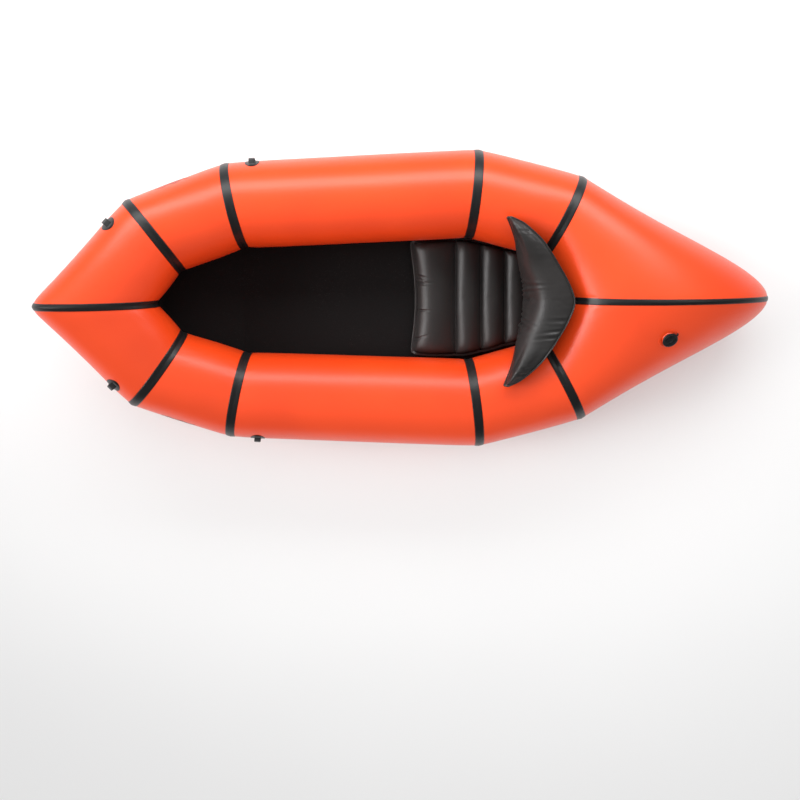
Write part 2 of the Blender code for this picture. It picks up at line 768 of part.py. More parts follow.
def facing(point, normal):
    """A frame on a face: Z along its normal."""
    return Matrix.Translation(point) @ normal.to_track_quat("Z", "X").to_matrix().to_4x4()


def small_valves(axis):
    middle = (SEAT_EDGES[4] + SEAT_EDGES[5]) / 2
    mouth_valve("seat", facing(Vector((middle, 0.0, SEAT_BOTTOM + SEAT_HEIGHTS[4])), UP))
    near, far = backrest_station(*BACKREST[0]), backrest_station(*BACKREST[1])
    face, following = BACKREST_VALVE_FACE, BACKREST_VALVE_FACE + 1
    corners = [near[face], near[following], far[following], far[face]]
    centre = sum(corners, Vector()) / 4
    normal = (corners[2] - corners[0]).cross(corners[3] - corners[1]).normalized()
    body = Vector(((BACKREST[0][1] + BACKREST[0][2]) / 2, centre.y, (BACKREST[0][3] + BACKREST[0][4]) / 2))
    if normal.dot(centre - body) < 0.0:
        normal = -normal
    hang(mouth_valve("backrest", facing(centre + normal * 0.0006, normal)), axis)


def build_boat():
    for side in (PORT, STARBOARD):
        for panel in PANELS:
            hull_panel(panel, side)
        for seam in SEAMS[1:-1]:
            seam_tape(seam, side)
        lash_patch("side_lash_patch_" + SIDE_NAMES[side], SIDE_LASH, side)
        lash_loop("side_lash_loop_" + SIDE_NAMES[side], SIDE_LASH, side)
        lash_patch("bow_lash_patch_" + SIDE_NAMES[side], BOW_LASH, side)
        lash_loop("bow_lash_loop_" + SIDE_NAMES[side], BOW_LASH, side)
    seam_tape("bow_centre", PORT)
    seam_tape("stern_centre", PORT)
    floor_sheet()
    main_valve()
    seat()
    backrest_axis = joint_empty("backrest_axis", Matrix.Translation(PIVOT))
    backrest(backrest_axis)
    backrest_mount(backrest_axis)
    small_valves(backrest_axis)


clear_scene()
BOAT = new_collection("packraft")
CUTTERS = new_collection("cutters")
build_boat()
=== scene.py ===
"""The finished look of a one-person inflatable packraft, built over its fixed frame.

The frame has +X towards the bow, +Y towards port and +Z up, in metres, with the ground at z = 0. Each
sub-assembly is a class: the hull panels, the seam tapes, the floor, the seat, the backrest, the lashing
points, the air valve and the printed wave marks. Finishes are frozen dataclasses that build node materials.
"""

import logging
import math
from dataclasses import dataclass, field
from enum import Enum
from typing import Callable, Iterable, Sequence

import bmesh
import bpy
from mathutils import Matrix, Vector, noise


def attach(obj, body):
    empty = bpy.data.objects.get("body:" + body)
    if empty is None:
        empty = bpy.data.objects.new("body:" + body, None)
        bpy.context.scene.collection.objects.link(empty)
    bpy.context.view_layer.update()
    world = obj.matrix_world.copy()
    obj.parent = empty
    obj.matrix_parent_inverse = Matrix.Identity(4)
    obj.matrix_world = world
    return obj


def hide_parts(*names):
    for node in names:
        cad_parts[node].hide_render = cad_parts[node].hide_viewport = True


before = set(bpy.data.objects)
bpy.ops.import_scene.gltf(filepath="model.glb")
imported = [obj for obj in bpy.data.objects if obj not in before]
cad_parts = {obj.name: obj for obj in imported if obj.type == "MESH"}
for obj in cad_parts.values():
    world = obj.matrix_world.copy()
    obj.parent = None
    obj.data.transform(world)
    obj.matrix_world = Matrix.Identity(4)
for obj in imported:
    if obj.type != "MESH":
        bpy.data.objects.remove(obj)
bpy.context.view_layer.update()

LOG = logging.getLogger("packraft")
Place = Callable[[float, float], Vector]
Table = Sequence[tuple[float, ...]]
UP = Vector((0.0, 0.0, 1.0))
NOISE_REACH = 1.6  # stretches the library's noise to about -1 to 1
SAME_POINT = 2e-5  # points closer than this are one point


class Side(Enum):
    """The two sides of the boat."""

    PORT = 1.0
    STARBOARD = -1.0

    @property
    def word(self) -> str:
        """The side's name as piece names spell it."""
        return self.name.lower()

    def of(self, point: Vector) -> Vector:
        """A port-side point taken to this side."""
        return Vector((point.x, point.y * self.value, point.z))


class Panel(Enum):
    """The panels of a half ring, numbered from the bow."""

    BOW = 0
    SHOULDER = 1
    SIDE = 2
    QUARTER = 3
    STERN = 4

    @property
    def word(self) -> str:
        """The panel's name as piece names spell it."""
        return self.name.lower()

    @property
    def ends(self) -> tuple[int, int]:
        """The sections where the panel starts and ends, running outwards from the middle of the boat."""
        return (1, 0) if self is Panel.BOW else (self.value, self.value + 1)


# ---------------------------------------------------------------- small maths
def smooth_step(low: float, high: float, value: float) -> float:
    """Goes smoothly from 0 at low to 1 at high."""
    share = min(max((value - low) / (high - low), 0.0), 1.0)
    return share * share * (3.0 - 2.0 * share)


def rounded(value: float, power: float) -> float:
    """How full a rounded edge is: 1 in the middle, at 0, and 0 at the rim, at 1 or -1."""
    return max(0.0, 1.0 - abs(value) ** power) ** 0.5


def curve_through(table: Table, key: float) -> list[float]:
    """Reads a row off a table of (key, values...) with smooth tangents.

    Args:
        table: Rows sorted by a rising key.
        key: Where to read.

    Returns:
        The values at the key, clamped to the ends of the table.
    """
    rows = list(table)
    if key <= rows[0][0]:
        return list(rows[0][1:])
    if key >= rows[-1][0]:
        return list(rows[-1][1:])
    at = next(i for i in range(len(rows) - 1) if rows[i + 1][0] >= key)
    before, first = rows[max(at - 1, 0)], rows[at]
    last, after = rows[at + 1], rows[min(at + 2, len(rows) - 1)]
    step = last[0] - first[0]
    share = (key - first[0]) / step
    values = []
    for column in range(1, len(first)):
        rise_in = (last[column] - before[column]) / (last[0] - before[0]) * step
        rise_out = (after[column] - first[column]) / (after[0] - first[0]) * step
        cube, square = share**3, share**2
        values.append(
            (2 * cube - 3 * square + 1) * first[column]
            + (cube - 2 * square + share) * rise_in
            + (3 * square - 2 * cube) * last[column]
            + (cube - square) * rise_out
        )
    return values


def ripple(seed: float, *at: float) -> float:
    """Smooth noise from about -1 to 1 at up to two coordinates."""
    spot = Vector((at[0], at[1] if len(at) > 1 else 0.0, seed))
    return noise.noise(spot) * NOISE_REACH


def ring_ripple(seed: float, turn: float, cells: float, at: float = 0.0) -> float:
    """Smooth noise from about -1 to 1 that closes on itself round a tube.

    Args:
        seed: Picks one of many patterns.
        turn: Angle round the tube, in radians.
        cells: How many ups and downs fit in a radian.
        at: Place along the tube, in cells.

    Returns:
        The noise.
    """
    spot = Vector((math.cos(turn) * cells, math.sin(turn) * cells, at + 17.3 * seed))
    return noise.noise(spot) * NOISE_REACH


# ---------------------------------------------------------------- mesh helpers
def mapped_grid(
    columns: int,
    rows: int,
    place: Place,
    cloth: tuple[float, float],
    bm: bmesh.types.BMesh | None = None,
    marks: dict[str, Callable[[float, float], float]] | None = None,
) -> bmesh.types.BMesh:
    """A flat grid moved onto a surface, with its cloth laid out in metres as a UV map.

    Args:
        columns: Faces along the grid's first direction.
        rows: Faces along its second direction.
        place: Gives the point for a pair of shares from 0 to 1.
        cloth: Width and length of the cloth, in metres.
        bm: A mesh to add the grid to.
        marks: Values stored at each point, by attribute name.

    Returns:
        The mesh, with points that fell on each other merged.
    """
    bm = bm or bmesh.new()
    uv = bm.loops.layers.uv.verify()
    layers = {
        name: bm.verts.layers.float.get(name) or bm.verts.layers.float.new(name) for name in marks or {}
    }
    made = bmesh.ops.create_grid(bm, x_segments=columns, y_segments=rows, size=0.5, calc_uvs=True)["verts"]
    faces = {face for vert in made for face in vert.link_faces}
    for face in faces:
        for loop in face.loops:
            loop[uv].uv = (loop[uv].uv.x * cloth[0], loop[uv].uv.y * cloth[1])
    for vert in made:
        across, along = vert.co.x + 0.5, vert.co.y + 0.5
        for name, layer in layers.items():
            vert[layer] = marks[name](across, along)
        vert.co = place(across, along)
    bmesh.ops.remove_doubles(bm, verts=bm.verts, dist=SAME_POINT)
    return bm


def face_out(bm: bmesh.types.BMesh, middle: Callable[[Vector], Vector]) -> None:
    """Turns every face away from the middle line of its piece.

    Args:
        bm: An open mesh whose faces all point the same way.
        middle: Gives the inner point that a place on the surface faces away from.
    """
    bm.normal_update()
    places = [(face.normal, face.calc_center_median()) for face in bm.faces]
    outward = sum(normal.dot(place - middle(place)) for normal, place in places)
    if outward < 0.0:
        bmesh.ops.reverse_faces(bm, faces=bm.faces)


@dataclass(frozen=True)
class Wall:
    """The thickness that a modelled skin gets, inwards from its outer face."""

    thickness: float
    bevel: float = 0.0

    def build(self, piece: bpy.types.Object) -> None:
        """Adds the wall, and softens its rim where a bevel is given.

        Args:
            piece: The piece.
        """
        solid = piece.modifiers.new("wall", "SOLIDIFY")
        solid.thickness, solid.offset, solid.use_even_offset = self.thickness, -1.0, False
        if self.bevel:
            soft = piece.modifiers.new("soft_rim", "BEVEL")
            soft.width, soft.segments, soft.limit_method = self.bevel, 2, "ANGLE"
            soft.angle_limit = math.radians(50.0)


def make_piece(
    name: str,
    bm: bmesh.types.BMesh,
    finish: "Finish",
    body: str = "hull",
    stands_for: Iterable[str] = (),
    wall: Wall | None = None,
) -> bpy.types.Object:
    """Turns a mesh into a finished piece of the boat.

    Args:
        name: The piece's name.
        bm: Its mesh in the boat's frame, which is freed.
        finish: The finish that it wears.
        body: The moving body that it rides on.
        stands_for: Plain solids of the frame that it takes the place of.
        wall: Its wall, if it is a skin.

    Returns:
        The new object.
    """
    bm.normal_update()
    mesh = bpy.data.meshes.new(name)
    bm.to_mesh(mesh)
    bm.free()
    mesh.shade_smooth()
    piece = bpy.data.objects.new(name, mesh)
    bpy.context.scene.collection.objects.link(piece)
    mesh.materials.append(finish.material())
    if wall:
        wall.build(piece)
    return settle(piece, body, stands_for)


def settle(
    piece: bpy.types.Object, body: str, stands_for: Iterable[str]
) -> bpy.types.Object:
    """Ties a piece to its body and hides the solids that it stands for.

    Args:
        piece: The piece.
        body: The body that it rides on.
        stands_for: The solids that it takes the place of.

    Returns:
        The piece.
    """
    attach(piece, body)
    if stands_for:
        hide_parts(*stands_for)
    LOG.info("%s: %d faces on %s", piece.name, len(piece.data.polygons), body)
    return piece


# ---------------------------------------------------------------- node graphs
class Graph:
    """A small hand for building shader node trees."""

    def __init__(self, tree: bpy.types.NodeTree) -> None:
        """Starts on a node tree, keeping what it holds."""
        self.tree = tree

    def node(self, kind: str, **settings: object) -> bpy.types.Node:
        """Adds a node and sets its properties."""
        made = self.tree.nodes.new(kind)
        for name, value in settings.items():
            setattr(made, name, value)
        return made

    def join(self, source: bpy.types.NodeSocket, target: bpy.types.NodeSocket) -> None:
        """Links an output to an input."""
        self.tree.links.new(source, target)

    def feed(self, target: bpy.types.NodeSocket, value: object) -> None:
        """Links a socket to an input, or sets the input to a number or a tuple."""
        if isinstance(value, bpy.types.NodeSocket):
            self.join(value, target)
        else:
            target.default_value = value

    def maths(self, operation: str, first: object, second: object = 0.0) -> bpy.types.NodeSocket:
        """Adds a Math node and returns its result."""
        made = self.node("ShaderNodeMath", operation=operation)
        self.feed(made.inputs[0], first)
        self.feed(made.inputs[1], second)
        return made.outputs[0]

    def spread(
        self, value: object, low: float, high: float, to_low: object, to_high: object
    ) -> bpy.types.NodeSocket:
        """Maps a value smoothly from one range to another."""
        made = self.node("ShaderNodeMapRange", interpolation_type="SMOOTHSTEP")
        for socket, given in zip(made.inputs, (value, low, high, to_low, to_high)):
            self.feed(socket, given)
        return made.outputs[0]

    def noise(
        self, at: object, scale: object, detail: float = 3.0, rough: float = 0.5
    ) -> bpy.types.NodeSocket:
        """Adds a noise texture and returns its value."""
        made = self.node("ShaderNodeTexNoise")
        for name, given in (("Vector", at), ("Scale", scale), ("Detail", detail), ("Roughness", rough)):
            self.feed(made.inputs[name], given)
        return made.outputs["Fac"]

    def stretched(self, at: object, scale: object) -> bpy.types.NodeSocket:
        """Scales a vector by another."""
        made = self.node("ShaderNodeVectorMath", operation="MULTIPLY")
        self.feed(made.inputs[0], at)
        self.feed(made.inputs[1], scale)
        return made.outputs[0]

    def blended(self, share: object, first: object, second: object) -> bpy.types.NodeSocket:
        """Mixes two colours."""
        made = self.node("ShaderNodeMix", data_type="RGBA", blend_type="MIX")
        for socket, given in zip((made.inputs[0], made.inputs[6], made.inputs[7]), (share, first, second)):
            self.feed(socket, given)
        return made.outputs[2]


class Effects:
    """Node groups for the effects that several finishes share. Each is built once."""

    @staticmethod
    def group(
        name: str, inputs: Sequence[tuple[str, str, object]], outputs: Sequence[tuple[str, str]]
    ) -> tuple:
        """Starts a node group.

        Args:
            name: The group's name.
            inputs: Name, socket type and default of each input.
            outputs: Name and socket type of each output.

        Returns:
            The tree, a graph on it, and its input and output nodes.
        """
        tree = bpy.data.node_groups.new(name, "ShaderNodeTree")
        for word, kind, default in inputs:
            socket = tree.interface.new_socket(name=word, in_out="INPUT", socket_type=kind)
            if default is not None:
                socket.default_value = default
        for word, kind in outputs:
            tree.interface.new_socket(name=word, in_out="OUTPUT", socket_type=kind)
        graph = Graph(tree)
        return tree, graph, graph.node("NodeGroupInput"), graph.node("NodeGroupOutput")

    @classmethod
    def weave(cls) -> bpy.types.NodeTree:
        """A plain weave: over-and-under threads as a height, and a mask of the gaps between them, where
        finishes paint shade.

        Returns:
            The group's tree.
        """
        found = bpy.data.node_groups.get("plain_weave")
        if found:
            return found
        tree, graph, given, made = cls.group(
            "plain_weave",
            (("Cloth", "NodeSocketVector", None), ("Threads", "NodeSocketFloat", 1000.0)),
            (("Height", "NodeSocketFloat"), ("Gap Shade", "NodeSocketFloat")),
        )
        split = graph.node("ShaderNodeSeparateXYZ")
        graph.join(given.outputs["Cloth"], split.inputs[0])
        turns = graph.maths("MULTIPLY", given.outputs["Threads"], math.pi)
        warp = graph.maths("SINE", graph.maths("MULTIPLY", split.outputs["X"], turns))
        weft = graph.maths("SINE", graph.maths("MULTIPLY", split.outputs["Y"], turns))
        crossing = graph.maths("MULTIPLY", warp, weft)
        height = graph.maths("MULTIPLY_ADD", crossing, 0.5)
        height.node.inputs[2].default_value = 0.5
        # The gaps mask serves only to paint shade into the hollows between threads.
        gaps = graph.maths("SUBTRACT", 1.0, graph.maths("ABSOLUTE", crossing))
        graph.join(height, made.inputs["Height"])
        graph.join(graph.maths("POWER", gaps, 6.0), made.inputs["Gap Shade"])
        return tree

    @classmethod
    def mottle(cls) -> bpy.types.NodeTree:
        """Slow patches over a surface, and fine grain on top of them.

        Returns:
            The group's tree.
        """
        found = bpy.data.node_groups.get("mottle")
        if found:
            return found
        tree, graph, given, made = cls.group(
            "mottle",
            (
                ("Place", "NodeSocketVector", None),
                ("Patch Scale", "NodeSocketFloat", 4.0),
                ("Grain Scale", "NodeSocketFloat", 120.0),
            ),
            (("Patches", "NodeSocketFloat"), ("Grain", "NodeSocketFloat")),
        )
        patches = graph.noise(given.outputs["Place"], given.outputs["Patch Scale"], 2.0)
        grain = graph.noise(given.outputs["Place"], given.outputs["Grain Scale"], 4.0, 0.6)
        graph.join(graph.spread(patches, 0.3, 0.7, 0.0, 1.0), made.inputs["Patches"])
        graph.join(graph.spread(grain, 0.3, 0.7, 0.0, 1.0), made.inputs["Grain"])
        return tree

    @classmethod
    def handling(cls) -> bpy.types.NodeTree:
        """Marks of use: specks of dust, and long faint scuffs.

        Returns:
            The group's tree.
        """
        found = bpy.data.node_groups.get("handling_marks")
        if found:
            return found
        tree, graph, given, made = cls.group(
            "handling_marks",
            (
                ("Place", "NodeSocketVector", None),
                ("Dust", "NodeSocketFloat", 0.5),
                ("Scuffs", "NodeSocketFloat", 0.5),
            ),
            (("Dust", "NodeSocketFloat"), ("Scuffs", "NodeSocketFloat")),
        )
        specks = graph.noise(given.outputs["Place"], 310.0, 2.0, 0.7)
        areas = graph.noise(given.outputs["Place"], 5.0, 2.0)
        dusty = graph.spread(specks, 0.62, 0.74, 0.0, 1.0)
        dust = graph.maths("MULTIPLY", dusty, graph.spread(areas, 0.4, 0.7, 0.2, 1.0))
        graph.join(graph.maths("MULTIPLY", dust, given.outputs["Dust"]), made.inputs["Dust"])
        lines = graph.noise(graph.stretched(given.outputs["Place"], (9.0, 90.0, 70.0)), 1.0, 2.0, 0.6)
        scuffed = graph.spread(lines, 0.63, 0.75, 0.0, 1.0)
        scuffs = graph.maths("MULTIPLY", scuffed, graph.spread(areas, 0.35, 0.75, 0.0, 1.0))
        graph.join(graph.maths("MULTIPLY", scuffs, given.outputs["Scuffs"]), made.inputs["Scuffs"])
        return tree

    @classmethod
    def creases(cls) -> bpy.types.NodeTree:
        """Short folds that run away from a seam and fade with the distance to it.

        Returns:
            The group's tree.
        """
        found = bpy.data.node_groups.get("seam_creases")
        if found:
            return found
        tree, graph, given, made = cls.group(
            "seam_creases",
            (
                ("Cloth", "NodeSocketVector", None),
                ("Distance", "NodeSocketFloat", 1.0),
                ("Reach", "NodeSocketFloat", 0.04),
            ),
            (("Height", "NodeSocketFloat"),),
        )
        folds = graph.noise(graph.stretched(given.outputs["Cloth"], (95.0, 16.0, 1.0)), 1.0, 3.0, 0.55)
        fade = graph.maths("DIVIDE", given.outputs["Distance"], given.outputs["Reach"])
        near = graph.spread(fade, 0.0, 1.0, 1.0, 0.0)
        graph.join(graph.maths("MULTIPLY", folds, near), made.inputs["Height"])
        return tree


def placed(graph: Graph, tree: bpy.types.NodeTree, **values: object) -> bpy.types.Node:
    """Places a node group in a material.

    Args:
        graph: The material's graph.
        tree: The group.
        values: Inputs by name, with underscores for spaces.

    Returns:
        The group's node.
    """
    made = graph.node("ShaderNodeGroup", node_tree=tree)
    for name, value in values.items():
        graph.feed(made.inputs[name.replace("_", " ")], value)
    return made


# ---------------------------------------------------------------- finishes
PALE_DUST = (0.55, 0.52, 0.48, 1.0)
DARK_DUST = (0.4, 0.39, 0.37, 1.0)


@dataclass(frozen=True)
class Finish:
    """A finish: the record's slot, a base colour and how rough it is. Subclasses draw the surface."""

    slot: str
    name: str
    colour: tuple[float, float, float]
    roughness: float

    def material(self) -> bpy.types.Material:
        """The node material, built on first use.

        Returns:
            The material.
        """
        made = bpy.data.materials.get(self.name)
        if made is None:
            made = bpy.data.materials.new(self.name)
            made.use_nodes = True
            made.diffuse_color = (*self.colour, 1.0)
            graph = Graph(made.node_tree)
            shader = made.node_tree.nodes["Principled BSDF"]
            place = graph.node("ShaderNodeTexCoord").outputs["Object"]
            cloth = graph.node("ShaderNodeUVMap", uv_map="UVMap").outputs["UV"]
            self.draw(graph, shader, place, cloth)
        return made

    def tone(self, factor: float) -> tuple[float, float, float, float]:
        """The base colour made darker or lighter."""
        return (*(min(1.0, channel * factor) for channel in self.colour), 1.0)

    def raised(self, graph: Graph, shader: bpy.types.Node, layers: Sequence[tuple[object, float]]) -> None:
        """Feeds heights to the shader's normal, one bump after another.

        Args:
            graph: The material's graph.
            shader: Its Principled BSDF.
            layers: Pairs of a height socket and the height in metres that 1 stands for.
        """
        normal = None
        for height, depth in layers:
            bump = graph.node("ShaderNodeBump")
            bump.inputs["Distance"].default_value = depth
            graph.join(height, bump.inputs["Height"])
            if normal:
                graph.join(normal, bump.inputs["Normal"])
            normal = bump.outputs["Normal"]
        graph.join(normal, shader.inputs["Normal"])

    def draw(self, graph: Graph, shader: bpy.types.Node, place: object, cloth: object) -> None:
        """Draws the surface. Each kind of finish has its own."""
        raise NotImplementedError


@dataclass(frozen=True)
class CoatedFabric(Finish):
    """Nylon coated with urethane: nearly smooth, satin, with a weave that just shows through."""

    threads: float = 1500.0
    weave_depth: float = 0.00003
    crease_depth: float = 0.0004
    crease_reach: float = 0.05
    grain_depth: float = 0.00004
    coat: float = 0.08
    coat_roughness: float = 0.28
    glue_line: bool = False
    shine: float = 0.5
    dust: float = 0.2
    warmth: tuple[float, float, float] = (1.0, 1.0, 1.0)

    def draw(self, graph: Graph, shader: bpy.types.Node, place: object, cloth: object) -> None:
        """A coated skin with patches of tone, a weave with painted shade in its gaps, creases beside the
        seams and a little dust.

        Args:
            graph: The material's graph.
            shader: Its Principled BSDF.
            place: The object's own coordinates.
            cloth: The cloth's coordinates, in metres.
        """
        patches = placed(graph, Effects.mottle(), Place=place, Patch_Scale=3.2, Grain_Scale=190.0)
        marks = placed(graph, Effects.handling(), Place=place, Dust=self.dust, Scuffs=0.5)
        weave = placed(graph, Effects.weave(), Cloth=cloth, Threads=self.threads)
        seam = graph.node("ShaderNodeAttribute", attribute_name="seam").outputs["Fac"]
        creases = placed(graph, Effects.creases(), Cloth=cloth, Distance=seam, Reach=self.crease_reach)
        warm = (*(min(1.0, a * b) for a, b in zip(self.colour, self.warmth)), 1.0)
        colour = graph.blended(patches.outputs["Patches"], self.tone(0.94), warm)
        # Painted shade: the gaps between the threads are darkened a little.
        colour = graph.blended(graph.maths("MULTIPLY", weave.outputs["Gap Shade"], 0.18), colour, self.tone(0.7))
        dust = graph.maths("MULTIPLY", marks.outputs["Dust"], 0.35)
        colour = graph.blended(dust, colour, PALE_DUST)
        rough = graph.spread(patches.outputs["Grain"], 0.0, 1.0, self.roughness - 0.03, self.roughness + 0.04)
        rough = graph.maths("ADD", rough, graph.maths("MULTIPLY", marks.outputs["Scuffs"], 0.12))
        if self.glue_line:
            past_tape = graph.spread(seam, 0.0142, 0.0152, 0.0, 1.0)
            before_skin = graph.spread(seam, 0.0158, 0.0172, 1.0, 0.0)
            glue = graph.maths("MULTIPLY", past_tape, before_skin)
            colour = graph.blended(graph.maths("MULTIPLY", glue, 0.45), colour, self.tone(0.6))
            rough = graph.maths("SUBTRACT", rough, graph.maths("MULTIPLY", glue, 0.16))
        graph.join(colour, shader.inputs["Base Color"])
        graph.join(rough, shader.inputs["Roughness"])
        shader.inputs["Specular IOR Level"].default_value = self.shine
        shader.inputs["Coat Weight"].default_value = self.coat
        shader.inputs["Coat Roughness"].default_value = self.coat_roughness
        heights = (
            (weave.outputs["Height"], self.weave_depth),
            (creases.outputs["Height"], self.crease_depth),
            (patches.outputs["Grain"], self.grain_depth),
        )
        self.raised(graph, shader, heights)


@dataclass(frozen=True)
class Webbing(Finish):
    """Woven webbing with a coarse ribbed weave."""

    threads: float = 620.0
    thread_depth: float = 0.0003
    laid_flat: bool = False

    def draw(self, graph: Graph, shader: bpy.types.Node, place: object, cloth: object) -> None:
        """Thick threads with painted light on their tops and painted shade in the gaps, and a dusty sheen.

        Args:
            graph: The material's graph.
            shader: Its Principled BSDF.
            place: The object's own coordinates.
            cloth: The cloth's coordinates, in metres.
        """
        weave = placed(graph, Effects.weave(), Cloth=place if self.laid_flat else cloth, Threads=self.threads)
        patches = placed(graph, Effects.mottle(), Place=place, Patch_Scale=30.0, Grain_Scale=700.0)
        # Painted light and shade: the threads are lightened and the gaps between them darkened.
        colour = graph.blended(weave.outputs["Gap Shade"], self.tone(1.25), self.tone(0.4))
        lint = graph.maths("MULTIPLY", patches.outputs["Grain"], 0.25)
        colour = graph.blended(lint, colour, self.tone(2.4))
        graph.join(colour, shader.inputs["Base Color"])
        low, high = self.roughness - 0.06, self.roughness + 0.06
        rough = graph.spread(patches.outputs["Patches"], 0.0, 1.0, low, high)
        graph.join(rough, shader.inputs["Roughness"])
        shader.inputs["Sheen Weight"].default_value = 0.25
        heights = ((weave.outputs["Height"], self.thread_depth), (patches.outputs["Grain"], 0.00008))
        self.raised(graph, shader, heights)


@dataclass(frozen=True)
class Moulded(Finish):
    """Moulded plastic or rubber with a fine spark-eroded texture."""

    texture: float = 0.00006
    scuffed: float = 0.5
    scuff_depth: float = 0.00004

    def draw(self, graph: Graph, shader: bpy.types.Node, place: object, cloth: object) -> None:
        """A fine even grain, faint flow patches and light scuffs.

        Args:
            graph: The material's graph.
            shader: Its Principled BSDF.
            place: The object's own coordinates.
            cloth: The cloth's coordinates, in metres; not used.
        """
        patches = placed(graph, Effects.mottle(), Place=place, Patch_Scale=45.0, Grain_Scale=1400.0)
        marks = placed(graph, Effects.handling(), Place=place, Dust=0.4, Scuffs=self.scuffed)
        colour = graph.blended(patches.outputs["Patches"], self.tone(0.85), self.tone(1.3))
        dust = graph.maths("MULTIPLY", marks.outputs["Dust"], 0.3)
        colour = graph.blended(dust, colour, DARK_DUST)
        graph.join(colour, shader.inputs["Base Color"])
        rough = graph.spread(patches.outputs["Grain"], 0.0, 1.0, self.roughness - 0.05, self.roughness + 0.08)
        rough = graph.maths("ADD", rough, graph.maths("MULTIPLY", marks.outputs["Scuffs"], 0.2))
        graph.join(rough, shader.inputs["Roughness"])
        heights = ((patches.outputs["Grain"], self.texture), (marks.outputs["Scuffs"], -self.scuff_depth))
        self.raised(graph, shader, heights)


@dataclass(frozen=True)
class StudioFloor(Finish):
    """The plain pale floor."""

    def draw(self, graph: Graph, shader: bpy.types.Node, place: object, cloth: object) -> None:
        """A pale, matt, slightly uneven floor."""
        patches = placed(graph, Effects.mottle(), Place=place, Patch_Scale=0.8, Grain_Scale=60.0)
        colour = graph.blended(patches.outputs["Patches"], self.tone(0.985), self.tone(1.0))
        graph.join(colour, shader.inputs["Base Color"])
        shader.inputs["Roughness"].default_value = self.roughness


ORANGE = (0.84, 0.060, 0.0075)
HULL = CoatedFabric(
    "hull_fabric", "orange_coated_nylon", ORANGE, 0.37, glue_line=True, warmth=(1.02, 1.10, 1.05), dust=0.06
)
FLANGE = CoatedFabric("flange_fabric", "orange_moulded_urethane", ORANGE, 0.3, weave_depth=0.000005, coat=0.3)
TAPE = CoatedFabric(
    "seam_tape", "black_seam_tape", (0.0115, 0.0115, 0.0118), 0.42, threads=1100.0, weave_depth=0.00006
)
FLOOR = CoatedFabric(
    "floor_fabric",
    "black_floor_fabric",
    (0.0062, 0.0062, 0.0065),
    0.62,
    threads=900.0,
    weave_depth=0.00008,
    coat=0.0,
    shine=0.22,
)
CUSHION = CoatedFabric(
    "cushion_fabric",
    "dark_grey_cushion_fabric",
    (0.023, 0.0218, 0.0213),
    0.46,
    threads=1300.0,
    weave_depth=0.00004,
    crease_depth=0.0006,
    crease_reach=0.03,
    coat=0.0,
    shine=0.62,
    warmth=(1.14, 1.05, 1.04),
    dust=0.1,
)
WEBBING = Webbing("webbing", "black_webbing", (0.016, 0.016, 0.017), 0.72)
FLAT_WEBBING = Webbing("webbing", "black_flat_webbing", (0.016, 0.016, 0.017), 0.72, laid_flat=True)
PLASTIC = Moulded("valve_plastic", "black_valve_plastic", (0.013, 0.013, 0.0145), 0.36)
RUBBER = Moulded("valve_rubber", "black_valve_rubber", (0.012, 0.012, 0.013), 0.55, texture=0.00003)
BAR = Moulded("bar_plastic", "black_bar_plastic", (0.013, 0.013, 0.0145), 0.33)
PALE = StudioFloor("", "pale_floor", (0.86, 0.86, 0.86), 0.7)


# ---------------------------------------------------------------- the hull's form
@dataclass(frozen=True)
class Oval:
    """The oval where the two tubes meet at an end of the boat, on the centre plane."""

    half_length: float
    half_height: float
    height: float
    tip_rise: float
    rounding: int


@dataclass(frozen=True)
class Bend:
    """A mitre joint: the tube's centre in plan, its radius, and how far its underside is raised."""

    x: float
    y: float
    radius: float
    rise: float


